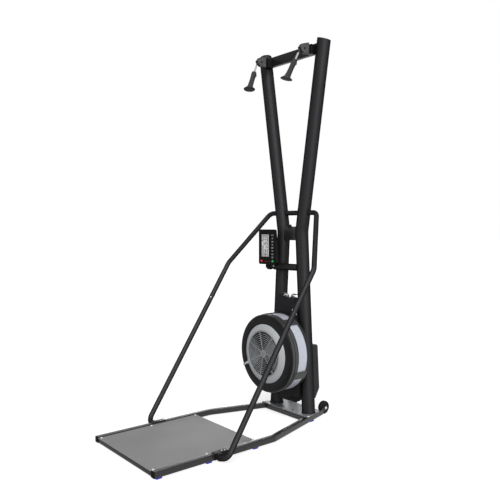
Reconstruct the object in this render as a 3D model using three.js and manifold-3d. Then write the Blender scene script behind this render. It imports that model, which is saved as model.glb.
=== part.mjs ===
// Standing ski trainer: two pull cords drive an air fan in front of a tall twin tower.
// Millimetres, +Z up. The user stands on the platform at -Y and faces +Y. +X is to their right.
import * as THREE from "three";
import { mergeVertices } from "three/addons/utils/BufferGeometryUtils.js";
import Module from "manifold-3d";

const wasm = await Module();
wasm.setup();

// Driving dimensions. Places along Y are counted from the front end of the floor rails.
const seat = 0.3; // gap between two pieces that rest on each other
const overrun = 40; // how far a cutting solid runs past what it cuts
const weld = 1; // how deep a joined piece sinks into its neighbour

const rail = {
  size: 30, wall: 2, corner: 4, outerSpan: 594, straightEnd: 711, bendRadius: 60,
  tailHalfSpan: 131, tailEnd: 1220, capThickness: 3, plugLength: 14, plugGap: 0.5,
};
const foot = { height: 8, width: 24, length: 40, firstY: 28, secondY: 300, thirdY: 586, rearY: 1100 };
const platform = { length: 600, thickness: 4, drop: 4, frontY: 3 };
const crossTube = { depth: 30, wall: 2, middleY: 286 };
const basePlate = { thickness: 4, rearY: 1190, cornerCut: 12 };
const towerTube = { depth: 30, wall: 2, frontY: 1045 };

const wheel = {
  radius: 38, width: 22, bore: 5.3, axleY: 1247, axleZ: 44, sideGap: 2, hubRadius: 15, hubStep: 3,
  edge: 6, tabThickness: 5, tabHeight: 26, boltRadius: 5, boltHeadRadius: 8, boltHead: 4, nut: 5,
};

const upright = {
  radius: 38, wall: 2.5, planeY: 1112, baseHalf: 137, kinkHalf: 76, topHalf: 244, kinkZ: 1083, topZ: 2138.5,
  bendRadius: 160, topSlopeDegrees: 17, capThickness: 4, capPlug: 14,
};
const beam = { height: 56, depth: 30, wall: 2.5, drop: 39 }; // drop: from the uprights' tops to its middle
const midBracket = { bottomZ: 1033, height: 80, thickness: 5, setback: 22, bossRadius: 12, bossLength: 12 };

const handrail = {
  radius: 14.3, wall: 2, crossZ: 1192, cornerHalf: 194, cornerRadius: 45,
  midHalf: 366, midY: 918, midZ: 891, midRadius: 60,
  legOffset: 67, joinY: 797, joinZ: 707, footY: 349, footLead: 3.2,
  spigotLength: 40, spigotSink: 15, spigotGap: 0.5,
};
const clamp = {
  plate: 3.5, rear: 58, front: 24, topReach: 26, collarRadius: 19, collarLength: 18, bottomGap: 2,
};

const fan = {
  centreZ: 390, faceY: 898, ringInner: 169, ringFlat: 208, ringRound: 217, ringRadius: 222,
  edgeDepth: 8, stepY: 927, stepRadius: 219, wall: 3.5, bandStart: 955, bandEnd: 1018, backY: 1042,
  bandRadius: 218.5, bandWall: 2, backRadius: 221.5, spiderArms: 4, spiderWidth: 14, spiderDepth: 6,
  hubRadius: 22, hubBack: 910, standoffRadius: 9, standoffX: 62, standoffZ: 118,
};
const strap = { sweepDegrees: 12, radius: 226, frontY: 938, rearLap: 10, degrees: [57, 105, 123, -27, -153] };
const grille = {
  radius: 131, frontY: 882.5, thickness: 4, hubRadius: 24.4, hubProud: 1.5, spokes: 7, spokeWidth: 7,
  firstSpokeDegrees: 112, slots: 8, firstSlot: 38, slotWidth: 5.6, slotPitch: 11,
  innerSteps: 2, outerSteps: 3,
};
const damper = {
  innerGap: 0.6, outerGap: 0.5, lip: 3, lipDepth: 8, coneThickness: 2.2, bladeInner: 27, bladeThickness: 2.4,
  bladeSweepDegrees: 85, leverDegrees: 207, leverRoot: 158, leverTip: 206, leverRootWidth: 15,
  leverTipWidth: 9, leverFront: 884, leverGap: 2,
};
const rotor = {
  radius: 203, bladeInner: 92, bladeThickness: 2, blades: 16, frontY: 912, backY: 1029, disc: 3,
  ringWidth: 9, ringDepth: 4, hubRadius: 30, hubFront: 960,
};
const shaft = { radius: 8.5, frontY: 893, rearY: 1130, bearingGap: 0.3 };

const carrier = {
  frontY: 1047, thickness: 3, inset: 24, topZ: 704, bottomZ: 135, tabHalf: 58, tabDrop: 16,
  bossRadius: 26, bossLength: 12, pinRadius: 5, pegRadius: 9,
};
const bridge = { frontY: 1118, thickness: 4, height: 60, bossRadius: 24, bossLength: 7 };
const rearCover = {
  frontGap: 0.6, depth: 51, overlap: 9, bottomZ: 115, topZ: 425, wall: 3, chamferZ: 55, chamferY: 36,
  topChamfer: 8,
};
const spool = { rightY: 1081, leftY: 1101, width: 18, flangeRadius: 48, flange: 2.5, windingRadius: 37 };
const cord = { radius: 3, play: 0.5, sides: 6, arcSteps: 4 };
const guideSheave = { halfSpan: 30, centreZ: 698, groove: 18, radius: 21, width: 12, planeY: 1091 };
const turnPeg = { radius: 11, inset: 9 };
const kinkPeg = { radius: 8, offset: 16 };
const bungee = { radius: 3.5, bottomZ: 150, topZ: 384, span: 30, bendRadius: 14 };

const head = {
  inset: 64, width: 23, side: 3.5, rim: 3, cordDrop: 32.5, pulleyY: 1017, groove: 16.5, radius: 19.5,
  pulleyWidth: 13, axleRadius: 4, pullDegrees: 25, swivelDegrees: 30, mouthRadius: 7, cordEnd: 38,
  earRadius: 10, ear: 4.5, blockTop: 32, blockBottom: -21,
  outline: [[33, 31], [5, 30], [-14, 24], [-32, 2], [-24, -12], [-8, -24], [33, -26]],
};
const swivel = {
  y: 1050, pinRadius: 4.5, eyeRadius: 7.5, neckHalf: 6.5, boreRadius: 4.5, slotHeight: 8, knobRadius: 8,
  knobHeight: 6, blockFrontY: 1062.5, blockHalf: 17, nutRadius: 7, nutHeight: 5,
};
const handle = {
  inwardDegrees: 8, stub: 8, cone: 3, connectorEnd: 50, connectorRadius: 6.2, sleeveLead: 4, sleeveRadius: 5,
  gripStart: 59, gripEnd: 160, flareEnd: 178, length: 184, neckRadius: 11, neckRise: 7, palmStart: 20,
  palmEnd: 12, gripRadius: 15, waistRadius: 14, palmProud: 1.5, flareLead: 7, flareProud: 8,
  pommelRadius: 33, pommelEdge: 2, pommelHalf: 1, pommelSlantDegrees: 15,
  lugStart: 68, lugLength: 14, lugProud: 5, lugWidth: 9,
};

const consoleBar = {
  axisZ: 877, startX: 58, startY: 1085, turnDegrees: 10, bigRadius: 20, smallRadius: 16, step: 3,
  bigLength: 162, length: 238, endRound: 9, endShare: 0.8, endRise: 3, tubeLap: 30,
};
const consoleUnit = {
  along: 172, width: 128, height: 206, corner: 12, faceOut: 55, bottomRise: 13, thickTop: 13, thickBottom: 31,
  screenLeft: -41, screenWidth: 57, screenTop: 73, screenHeight: 130, screenDepth: 2.2, screenGap: 0.3,
  buttonHalf: 41, buttonDrop: 83.5, buttonRadius: 6.5, buttonProud: 1.8, buttonDepth: 6, buttonGap: 0.35,
  clampAlong: 194, clampWidth: 24, clampWall: 5, clampGap: 0.3, neckWidth: 20, neckTop: 75, neckDepth: 10,
  travel: 1.2,
};

const round = {
  upright: 20, handrail: 12, fan: 32, hub: 14, small: 10, wheel: 18, arcSteps: 3, bendSteps: 3, corner: 1,
  nut: 6,
};

// Materials
function paint(color, roughness, metalness) {
  return new THREE.MeshStandardMaterial({ color, roughness, metalness });
}
const charcoal = paint(0x34353a, 0.55, 0.4);
const black = paint(0x141416, 0.6, 0.1);
const plateGrey = paint(0x8c8d8f, 0.7, 0.2);
const rawSteel = paint(0xa9adb1, 0.45, 0.9);
const silver = paint(0xb9bdc3, 0.4, 0.8);
const rubber = paint(0x1c1c1e, 0.85, 0);
const cordGrey = paint(0x2a2b2e, 0.9, 0);
const paleCord = paint(0xcfd2d6, 0.8, 0);
const glass = paint(0xb8bdb9, 0.2, 0);
const red = paint(0xd3222c, 0.5, 0);
const green = paint(0x1fa04f, 0.5, 0);

// Solids: a closed geometry becomes a solid for joins and cuts, and comes back as a geometry.
function solid(geometry) {
  const bare = geometry.index ? geometry.toNonIndexed() : geometry.clone();
  for (const name of Object.keys(bare.attributes)) {
    if (name !== "position") bare.deleteAttribute(name);
  }
  const merged = mergeVertices(bare, 1e-4);
  const index = merged.index.array;
  const triangles = [];
  for (let i = 0; i < index.length; i += 3) {
    const [a, b, c] = [index[i], index[i + 1], index[i + 2]];
    if (a !== b && b !== c && c !== a) triangles.push(a, b, c);
  }
  const vertProperties = new Float32Array(merged.attributes.position.array);
  const triVerts = new Uint32Array(triangles);
  return new wasm.Manifold(new wasm.Mesh({ numProp: 3, vertProperties, triVerts }));
}

function geometryOf(body) {
  const mesh = body.getMesh();
  const geometry = new THREE.BufferGeometry();
  geometry.setAttribute("position", new THREE.BufferAttribute(mesh.vertProperties, mesh.numProp));
  geometry.setIndex(new THREE.BufferAttribute(mesh.triVerts, 1));
  geometry.computeVertexNormals();
  return geometry;
}

function joined(...bodies) {
  return bodies.reduce((sum, body) => sum.add(body));
}

function mirrored(geometry) {
  const copy = geometry.index ? geometry.toNonIndexed() : geometry.clone();
  const points = copy.attributes.position;
  for (let i = 0; i < points.count; i += 3) {
    const corner = [0, 2, 1].map((k) => new THREE.Vector3().fromBufferAttribute(points, i + k));
    corner.forEach((p, k) => points.setXYZ(i + k, -p.x, p.y, p.z));
  }
  copy.computeVertexNormals();
  return copy;
}

function rightOrLeft(side, geometry) {
  return side > 0 ? geometry : mirrored(geometry);
}

// Basic solids
function box(x0, x1, y0, y1, z0, z1) {
  const geometry = new THREE.BoxGeometry(x1 - x0, y1 - y0, z1 - z0);
  geometry.translate((x0 + x1) / 2, (y0 + y1) / 2, (z0 + z1) / 2);
  return solid(geometry);
}

function rodY(x, z, radius, y0, y1, sides = round.small) {
  const geometry = new THREE.CylinderGeometry(radius, radius, y1 - y0, sides);
  geometry.translate(x, (y0 + y1) / 2, z);
  return solid(geometry);
}

// The radius of a faceted bore, or of any ring's inside, whose flats clear a round of the given radius
function boreFor(radius, gap, sides) {
  return (radius + gap) / Math.cos(Math.PI / sides);
}

function rodX(y, z, radius, x0, x1, sides = round.small) {
  const geometry = new THREE.CylinderGeometry(radius, radius, x1 - x0, sides);
  geometry.rotateZ(-Math.PI / 2);
  geometry.translate((x0 + x1) / 2, y, z);
  return solid(geometry);
}

function rodZ(x, y, radius, z0, z1, sides = round.small) {
  const geometry = new THREE.CylinderGeometry(radius, radius, z1 - z0, sides);
  geometry.rotateX(Math.PI / 2);
  geometry.translate(x, y, (z0 + z1) / 2);
  return solid(geometry);
}

// A profile of [radius, height] pairs, turned about its own axis, which then lies along Y at (x, z).
function turned(profile, sides) {
  const points = profile.map(([r, h]) => new THREE.Vector2(r, h));
  return new THREE.LatheGeometry(points, sides);
}

function turnedRing(profile, sides) {
  return turned([...profile, profile[0]], sides);
}

function turnedSolid(profile, sides, x, z) {
  const geometry = turned(profile, sides);
  geometry.translate(x, 0, z);
  return solid(geometry);
}

// An outline in X and Z, given a thickness from y0 to y1.
function slabXZ(shape, y0, y1, curveSegments = round.arcSteps) {
  const geometry = new THREE.ExtrudeGeometry(shape, { depth: y1 - y0, bevelEnabled: false, curveSegments });
  geometry.rotateX(Math.PI / 2);
  geometry.translate(0, y1, 0);
  return geometry;
}

// An outline in Y and Z, given a thickness from x0 to x1.
function slabYZ(shape, x0, x1) {
  const curveSegments = round.arcSteps;
  const geometry = new THREE.ExtrudeGeometry(shape, { depth: x1 - x0, bevelEnabled: false, curveSegments });
  geometry.rotateX(Math.PI / 2);
  geometry.rotateZ(Math.PI / 2);
  geometry.translate(x0, 0, 0);
  return geometry;
}

// An outline in X and Y, given a thickness from z0 to z1.
function slabXY(shape, z0, z1) {
  const geometry = new THREE.ExtrudeGeometry(shape, { depth: z1 - z0, bevelEnabled: false });
  geometry.translate(0, 0, z0);
  return geometry;
}

function polygon(points) {
  return new THREE.Shape(points.map(([a, b]) => new THREE.Vector2(a, b)));
}

function circle(radius, sides) {
  const points = [];
  for (let i = 0; i < sides; i += 1) {
    const angle = (i / sides) * Math.PI * 2;
    points.push(new THREE.Vector2(radius * Math.cos(angle), radius * Math.sin(angle)));
  }
  return points;
}

function pipeSection(radius, wall, sides) {
  const shape = new THREE.Shape(circle(radius, sides));
  if (wall) shape.holes.push(new THREE.Path(circle(radius - wall, sides)));
  return shape;
}

function roundedRectangle(width, height, corner, target = new THREE.Shape()) {
  const [w, h] = [width / 2 - corner, height / 2 - corner];
  target.absarc(w, h, corner, 0, Math.PI / 2);
  target.absarc(-w, h, corner, Math.PI / 2, Math.PI);
  target.absarc(-w, -h, corner, Math.PI, Math.PI * 1.5);
  target.absarc(w, -h, corner, Math.PI * 1.5, Math.PI * 2);
  return target;
}

function boxSection(width, height, wall, corner) {
  const shape = roundedRectangle(width, height, corner);
  if (!wall) return shape;
  const inner = Math.max(corner - wall, corner / 4);
  shape.holes.push(roundedRectangle(width - 2 * wall, height - 2 * wall, inner, new THREE.Path()));
  return shape;
}

function sectorPoints(inner, outer, from, to, steps) {
  const points = [];
  for (let i = 0; i <= steps; i += 1) {
    const angle = from + ((to - from) * i) / steps;
    points.push(new THREE.Vector2(Math.cos(angle), Math.sin(angle)));
  }
  const inside = points.map((p) => p.clone().multiplyScalar(inner));
  return [...inside.reverse(), ...points.map((p) => p.multiplyScalar(outer))];
}

function sector(inner, outer, from, to) {
  return new THREE.Shape(sectorPoints(inner, outer, from, to, 2 * round.arcSteps));
}

// A section of Y and Z, run along X to the given distance on each side of the middle
function straightBar(section, half) {
  const curveSegments = round.corner;
  const bar = new THREE.ExtrudeGeometry(section, { depth: 2 * half, bevelEnabled: false, curveSegments });
  bar.rotateX(Math.PI / 2);
  bar.rotateZ(Math.PI / 2);
  bar.translate(-half, 0, 0);
  return bar;
}

// A path of straight runs and bends, met only where its section has to turn.
class BentPath extends THREE.Curve {
  constructor(corners, radii, steps, endTangents = []) {
    super();
    this.stations = [{ point: corners[0], tangent: corners[1].clone().sub(corners[0]).normalize() }];
    for (let i = 1; i < corners.length - 1; i += 1) {
      this.addBend(corners[i - 1], corners[i], corners[i + 1], radii[i - 1], steps);
    }
    const last = corners.length - 1;
    this.stations.push({
      point: corners[last], tangent: corners[last].clone().sub(corners[last - 1]).normalize(),
    });
    if (endTangents[0]) this.stations[0].tangent = endTangents[0];
    if (endTangents[1]) this.stations.at(-1).tangent = endTangents[1];
  }

  addBend(before, corner, after, radius, steps) {
    const inward = corner.clone().sub(before).normalize();
    const outward = after.clone().sub(corner).normalize();
    const angle = inward.angleTo(outward);
    const side = outward.clone().addScaledVector(inward, -Math.cos(angle)).normalize();
    const start = corner.clone().addScaledVector(inward, -radius * Math.tan(angle / 2));
    const centre = start.clone().addScaledVector(side, radius);
    for (let i = 0; i <= steps; i += 1) {
      const turn = (angle * i) / steps;
      const point = centre.clone().addScaledVector(side, -radius * Math.cos(turn));
      point.addScaledVector(inward, radius * Math.sin(turn));
      const tangent = inward.clone().multiplyScalar(Math.cos(turn));
      this.stations.push({ point, tangent: tangent.addScaledVector(side, Math.sin(turn)) });
    }
  }

  station(u) {
    return this.stations[Math.round(u * (this.stations.length - 1))];
  }

  getPointAt(u, target = new THREE.Vector3()) {
    return target.copy(this.station(u).point);
  }

  getTangentAt(u, target = new THREE.Vector3()) {
    return target.copy(this.station(u).tangent);
  }

  get steps() {
    return this.stations.length - 1;
  }
}

function swept(section, path) {
  return new THREE.ExtrudeGeometry(section, {
    extrudePath: path, steps: path.steps, bevelEnabled: false, curveSegments: round.corner,
  });
}

const at = (x, y, z) => new THREE.Vector3(x, y, z);
const radians = THREE.MathUtils.degToRad;

// The machine stands in one group, which brings its middle over the origin.
const machine = new THREE.Group();
const rearY = wheel.axleY + wheel.radius;
machine.position.y = -rearY / 2;

function place(name, geometry, material) {
  const mesh = new THREE.Mesh(geometry, material);
  mesh.name = name;
  machine.add(mesh);
  return mesh;
}

const sides = [["right", 1], ["left", -1]];

// Levels of the base
const railBottom = foot.height;
const railTop = railBottom + rail.size;
const railMid = (railBottom + railTop) / 2;
const railHalf = rail.outerSpan / 2 - rail.size / 2;
const plateTop = railTop - platform.drop;
const plateBottom = plateTop - platform.thickness;
const baseTop = railTop + seat + basePlate.thickness;

const taper = (railHalf - rail.tailHalfSpan) / (rail.tailEnd - rail.straightEnd);
const railCentreAt = (y) => railHalf - taper * (y - rail.straightEnd);
const railOuterAt = (y) => railCentreAt(y) + (rail.size / 2) * Math.hypot(1, taper);

// Tower lines
const beamZ = upright.topZ - beam.drop;
const headX = upright.topHalf - head.inset;
const cordTopZ = upright.topZ - head.cordDrop;
const lowerLean = (upright.baseHalf - upright.kinkHalf) / (upright.kinkZ - baseTop);
const upperLean = (upright.topHalf - upright.kinkHalf) / (upright.topZ - upright.kinkZ);
function uprightX(z) {
  if (z < upright.kinkZ) return upright.baseHalf - lowerLean * (z - baseTop);
  return upright.kinkHalf + upperLean * (z - upright.kinkZ);
}

function uprightPath(bottomZ, topZ) {
  const corners = [
    at(uprightX(bottomZ), upright.planeY, bottomZ),
    at(upright.kinkHalf, upright.planeY, upright.kinkZ),
    at(uprightX(topZ), upright.planeY, topZ),
  ];
  return new BentPath(corners, [upright.bendRadius], round.bendSteps, [at(0, 0, 1)]);
}

// The uprights are cut off on a plane that falls toward the rear. A solid is kept below it or above it, with
// the plane raised by the given rise.
const topSlope = radians(upright.topSlopeDegrees);
const topNormal = at(0, Math.sin(topSlope), Math.cos(topSlope));
const topPoint = at(upright.topHalf, upright.planeY, upright.topZ);

function belowTop(body, rise) {
  return body.trimByPlane(topNormal.clone().negate().toArray(), -topNormal.dot(topPoint) - rise);
}

function aboveTop(body, rise) {
  return body.trimByPlane(topNormal.toArray(), topNormal.dot(topPoint) + rise);
}

// What the upright takes up, with the seat gap round it, to cut the ends of pieces welded to it
function uprightRoom(side) {
  const path = uprightPath(baseTop - overrun, upright.topZ + overrun);
  const rod = swept(pipeSection(upright.radius + seat, 0, round.upright), path);
  return solid(rightOrLeft(side, rod));
}
const bothUprights = uprightRoom(1).add(uprightRoom(-1));

// Floor rails: a straight run beside the platform, then a taper to the tail behind the tower.
function railPath(startY, endY) {
  const corners = [
    at(railHalf, startY, railMid), at(railHalf, rail.straightEnd, railMid),
    at(railCentreAt(endY), endY, railMid),
  ];
  return new BentPath(corners, [rail.bendRadius], round.bendSteps, [at(0, 1, 0)]);
}

const tabOuterX = railOuterAt(rail.tailEnd) - wheel.tabThickness / 4;
const tabInnerX = tabOuterX - wheel.tabThickness;

// The tail tab carries the transport wheel and curls up to its axle.
function tailTab() {
  const reach = wheel.tabHeight / 2;
  const startY = rail.tailEnd - rail.size;
  const shape = new THREE.Shape();
  shape.moveTo(startY, railMid - reach);
  shape.lineTo(rail.tailEnd, railMid - reach);
  shape.lineTo(wheel.axleY, wheel.axleZ - reach);
  shape.absarc(wheel.axleY, wheel.axleZ, reach, -Math.PI / 2, Math.PI / 2, false);
  shape.lineTo(rail.tailEnd - reach, railMid + reach);
  shape.lineTo(startY, railMid + reach);
  const tab = solid(slabYZ(shape, tabInnerX, tabOuterX));
  const bore = rodX(wheel.axleY, wheel.axleZ, wheel.bore, tabInnerX - overrun, tabOuterX + overrun);
  return tab.subtract(bore);
}

function floorRail(side) {
  const section = boxSection(rail.size, rail.size, rail.wall, rail.corner);
  const tube = solid(swept(section, railPath(rail.capThickness, rail.tailEnd)));
  const pads = [foot.firstY, foot.secondY, foot.thirdY, foot.rearY].map((y) => {
    const x = y < rail.straightEnd ? railHalf : railCentreAt(y);
    const [w, l] = [foot.width / 2, foot.length / 2];
    return box(x - w, x + w, y - l, y + l, 0, railBottom + rail.wall / 2);
  });
  const tailWall = box(tabInnerX - rail.size, tabInnerX, wheel.axleY - wheel.radius - wheel.sideGap,
    wheel.axleY + overrun, 0, railTop + overrun);
  const body = joined(tube.subtract(tailWall), tailTab(), ...pads);
  return rightOrLeft(side, geometryOf(body));
}

function railCap(side) {
  const plug = rail.size - 2 * rail.wall - 2 * rail.plugGap;
  const face = roundedRectangle(rail.size, rail.size, rail.corner);
  const stem = roundedRectangle(plug, plug, rail.corner / 4);
  const plateEnd = rail.capThickness - seat;
  const plate = solid(slabXZ(face, 0, plateEnd, round.corner));
  const tail = solid(slabXZ(stem, plateEnd - weld, rail.capThickness + rail.plugLength, round.corner));
  const cap = geometryOf(plate.add(tail));
  cap.translate(side * railHalf, 0, railMid);
  return cap;
}

function railRoom(side) {
  const room = boxSection(rail.size + 2 * seat, rail.size + 2 * seat, 0, rail.corner);
  return solid(rightOrLeft(side, swept(room, railPath(-overrun, rail.tailEnd))));
}
const bothRails = railRoom(1).add(railRoom(-1));

function crossMember(frontY, { depth, wall }, height) {
  const half = frontY < rail.straightEnd ? railHalf : railCentreAt(frontY + depth / 2);
  const section = boxSection(depth, height, wall, rail.corner / 2);
  const bar = straightBar(section, half);
  bar.translate(0, frontY + depth / 2, railBottom + height / 2);
  return geometryOf(solid(bar).subtract(bothRails));
}

const crossHeight = plateBottom - seat - railBottom;
const plateRear = platform.frontY + platform.length;

for (const [name, side] of sides) {
  place(`floor_rail_${name}`, floorRail(side), charcoal);
  place(`rail_cap_${name}`, railCap(side), black);
}
place("cross_tube_front", crossMember(platform.frontY, crossTube, crossHeight), charcoal);
place("cross_tube_middle", crossMember(crossTube.middleY, crossTube, crossHeight), charcoal);
place("cross_tube_rear", crossMember(plateRear - crossTube.depth, crossTube, crossHeight), charcoal);
place("cross_tube_tower", crossMember(towerTube.frontY, towerTube, rail.size), charcoal);

// Platform plate between the rails, and the plate that the tower stands on, over them
const plateHalf = railHalf - rail.size / 2 - seat;
const platformPlate = box(-plateHalf, plateHalf, platform.frontY, plateRear, plateBottom, plateTop);
place("platform_plate", geometryOf(platformPlate), plateGrey);

function towerBasePlate() {
  const [front, rear] = [towerTube.frontY, basePlate.rearY];
  const cut = basePlate.cornerCut;
  const outline = [
    [railOuterAt(front), front], [railOuterAt(rear - cut), rear - cut], [railOuterAt(rear) - cut, rear],
  ];
  const other = outline.map(([x, y]) => [-x, y]).reverse();
  return slabXY(polygon([...outline, ...other]), railTop + seat, baseTop);
}
place("tower_base_plate", towerBasePlate(), rawSteel);

// Transport wheels at the rail tails
const wheelOuter = tabInnerX - wheel.sideGap;
const wheelInner = wheelOuter - wheel.width;

function transportWheel(side) {
  const { radius, width, bore, hubRadius, hubStep, edge } = wheel;
  const half = width / 2;
  const profile = [
    [bore, -half], [hubRadius, -half], [hubRadius + hubStep, hubStep - half], [radius - edge, -half],
    [radius, edge - half], [radius, half - edge], [radius - edge, half],
    [hubRadius + hubStep, half - hubStep], [hubRadius, half], [bore, half],
  ];
  const geometry = turnedRing(profile, round.wheel);
  geometry.rotateZ(-Math.PI / 2);
  geometry.translate(side * (wheelOuter + wheelInner) / 2, wheel.axleY, wheel.axleZ);
  return geometry;
}

function wheelAxle(side) {
  const { axleY, axleZ, boltRadius, boltHeadRadius } = wheel;
  const nutStart = wheelInner - wheel.nut;
  const headEnd = tabOuterX + wheel.boltHead;
  const bolt = rodX(axleY, axleZ, boltRadius, nutStart, headEnd);
  const cap = rodX(axleY, axleZ, boltHeadRadius, tabOuterX + seat, headEnd);
  const nut = rodX(axleY, axleZ, boltHeadRadius, nutStart, wheelInner - seat, round.nut);
  return rightOrLeft(side, geometryOf(joined(bolt, cap, nut)));
}

for (const [name, side] of sides) {
  place(`transport_wheel_${name}`, transportWheel(side), rubber);
  place(`wheel_axle_${name}`, wheelAxle(side), silver);
}

// Cord lines through the tower, worked out in the plane of the uprights for the right-hand side
const grooveLine = guideSheave.groove + cord.radius + cord.play;
const pegLine = turnPeg.radius + cord.radius + cord.play;
const kinkLine = kinkPeg.radius + cord.radius + cord.play;
const crossRunZ = guideSheave.centreZ + grooveLine;
const turnPegZ = crossRunZ + pegLine;
const turnPegX = uprightX(turnPegZ) - turnPeg.inset;
const kinkPegX = upright.kinkHalf + kinkPeg.offset;

// Uprights: bent steel tubes, each with the cord's guide pegs inside
function towerUpright(side) {
  const path = uprightPath(baseTop + seat, upright.topZ + overrun);
  const tube = belowTop(solid(swept(pipeSection(upright.radius, upright.wall, round.upright), path)), 0);
  const core = solid(swept(pipeSection(upright.radius - upright.wall / 2, 0, round.upright), path));
  const [front, rear] = [upright.planeY - upright.radius, upright.planeY + upright.radius];
  const pegs = rodY(turnPegX, turnPegZ, turnPeg.radius, front, rear).add(
    rodY(kinkPegX, upright.kinkZ, kinkPeg.radius, front, rear));
  const railX = uprightX(handrail.crossZ);
  const holes = joined(
    rodX(upright.planeY, handrail.crossZ, handrail.radius + seat, railX - overrun - upright.radius,
      railX + overrun + upright.radius, round.handrail),
    rodX(guideSheave.planeY, crossRunZ, head.mouthRadius, 0, turnPegX),
    rodX(upright.planeY, cordTopZ, head.mouthRadius, 0, uprightX(cordTopZ)),
  );
  const body = tube.subtract(holes).add(pegs.intersect(core));
  return rightOrLeft(side, geometryOf(body));
}

function uprightCap(side) {
  const path = uprightPath(upright.kinkZ - overrun, upright.topZ + overrun);
  const rod = (radius) => solid(swept(pipeSection(radius, 0, round.upright), path));
  const plate = aboveTop(belowTop(rod(upright.radius), upright.capThickness), seat);
  const inner = upright.radius - upright.wall - rail.plugGap;
  const plug = aboveTop(belowTop(rod(inner), seat + weld), -upright.capPlug);
  return rightOrLeft(side, geometryOf(plate.add(plug)));
}

for (const [name, side] of sides) {
  place(`upright_${name}`, towerUpright(side), charcoal);
  place(`upright_cap_${name}`, uprightCap(side), black);
}

// Top beam between the uprights, with an outlet for each cord
function topBeam() {
  const section = boxSection(beam.depth, beam.height, beam.wall, rail.corner);
  const bar = straightBar(section, upright.topHalf);
  bar.translate(0, upright.planeY, beamZ);
  const front = upright.planeY - beam.depth / 2;
  const outlet = (side) => rodY(side * headX, cordTopZ, head.mouthRadius, front - overrun,
    front + beam.wall * 2);
  return geometryOf(solid(bar).subtract(bothUprights).subtract(outlet(1)).subtract(outlet(-1)));
}
place("top_beam", topBeam(), charcoal);

// Bracket that ties the uprights together at their kinks
function kinkBracket() {
  const y = upright.planeY - midBracket.setback;
  const half = midBracket.thickness / 2;
  const top = midBracket.bottomZ + midBracket.height;
  const plate = box(-upright.kinkHalf, upright.kinkHalf, y - half, y + half, midBracket.bottomZ, top);
  const bossHalf = midBracket.bossLength / 2;
  const boss = rodY(0, top, midBracket.bossRadius, y - bossHalf, y + bossHalf);
  return geometryOf(plate.subtract(bothUprights).add(boss));
}
place("kink_bracket", kinkBracket(), charcoal);

const joinHalf = rail.outerSpan / 2 + handrail.legOffset;
const clampFace = rail.outerSpan / 2 + seat + clamp.plate;
const footRadius = joinHalf - clampFace - clamp.collarLength - handrail.footLead;

// Handrail: one bent tube through both uprights, and a leg on each side down to the floor rail
function handrailTop() {
  const half = [
    at(handrail.cornerHalf, upright.planeY, handrail.crossZ),
    at(handrail.midHalf, handrail.midY, handrail.midZ), at(joinHalf, handrail.joinY, handrail.joinZ),
  ];
  const other = half.map((p) => at(-p.x, p.y, p.z)).reverse();
  const radii = [handrail.midRadius, handrail.cornerRadius, handrail.cornerRadius, handrail.midRadius];
  const path = new BentPath([...other, ...half], radii, round.arcSteps);
  return swept(pipeSection(handrail.radius, handrail.wall, round.handrail), path);
}

const legTop = at(joinHalf, handrail.joinY, handrail.joinZ);
const legFoot = at(joinHalf, handrail.footY, railMid);
const legRun = legFoot.clone().sub(legTop).normalize();

function handrailLeg(side) {
  const start = legTop.clone().addScaledVector(legRun, seat);
  const end = at(clampFace + seat, handrail.footY, railMid);
  const path = new BentPath([start, legFoot, end], [footRadius], round.arcSteps);
  const tube = solid(swept(pipeSection(handrail.radius, handrail.wall, round.handrail), path));
  const bore = handrail.radius - handrail.wall;
  const spigotEnd = legTop.clone().addScaledVector(legRun, -handrail.spigotLength);
  const spigotRoot = legTop.clone().addScaledVector(legRun, handrail.spigotSink);
  const spigot = swept(pipeSection(bore - handrail.spigotGap, 0, round.handrail),
    new BentPath([spigotEnd, spigotRoot], [], 1));
  const plug = swept(pipeSection(bore + handrail.wall / 2, 0, round.handrail),
    new BentPath([start, spigotRoot], [], 1));
  return rightOrLeft(side, geometryOf(joined(tube, solid(spigot), solid(plug))));
}

// The foot clamp hooks over the floor rail, and its collar takes the leg's end.
function footClamp(side) {
  const face = rail.outerSpan / 2 + seat;
  const [front, rear] = [handrail.footY - clamp.front, handrail.footY + clamp.rear];
  const top = railTop + seat + clamp.plate;
  const wallPlate = box(face, clampFace, front, rear, railBottom + clamp.bottomGap, top);
  const topPlate = box(face - clamp.topReach, clampFace, front, rear, railTop + seat, top);
  const collarEnd = clampFace + clamp.collarLength;
  const collar = rodX(handrail.footY, railMid, clamp.collarRadius, clampFace - weld, collarEnd);
  const bore = rodX(handrail.footY, railMid, handrail.radius + seat, clampFace, collarEnd + overrun,
    round.handrail);
  const floorSide = box(0, collarEnd + overrun, front, rear, -overrun, railBottom - weld);
  const body = joined(wallPlate, topPlate, collar).subtract(bore).subtract(floorSide);
  return rightOrLeft(side, geometryOf(body));
}

place("handrail_top", handrailTop(), charcoal);
for (const [name, side] of sides) {
  place(`handrail_leg_${name}`, handrailLeg(side), charcoal);
  place(`handrail_clamp_${name}`, footClamp(side), black);
}

// The fan shaft's rod, run past its ends by the given length, and the room for it in its bearings
function shaftRod(radius, past) {
  return rodY(0, fan.centreZ, radius, shaft.frontY - past, shaft.rearY + past, round.hub);
}
const shaftRoom = shaftRod(boreFor(shaft.radius, shaft.bearingGap, round.hub), seat);

// Fan carrier: a shallow channel in front of the uprights, its flanges welded to them
function carrierHalf(z) {
  return uprightX(z) - carrier.inset;
}

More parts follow.
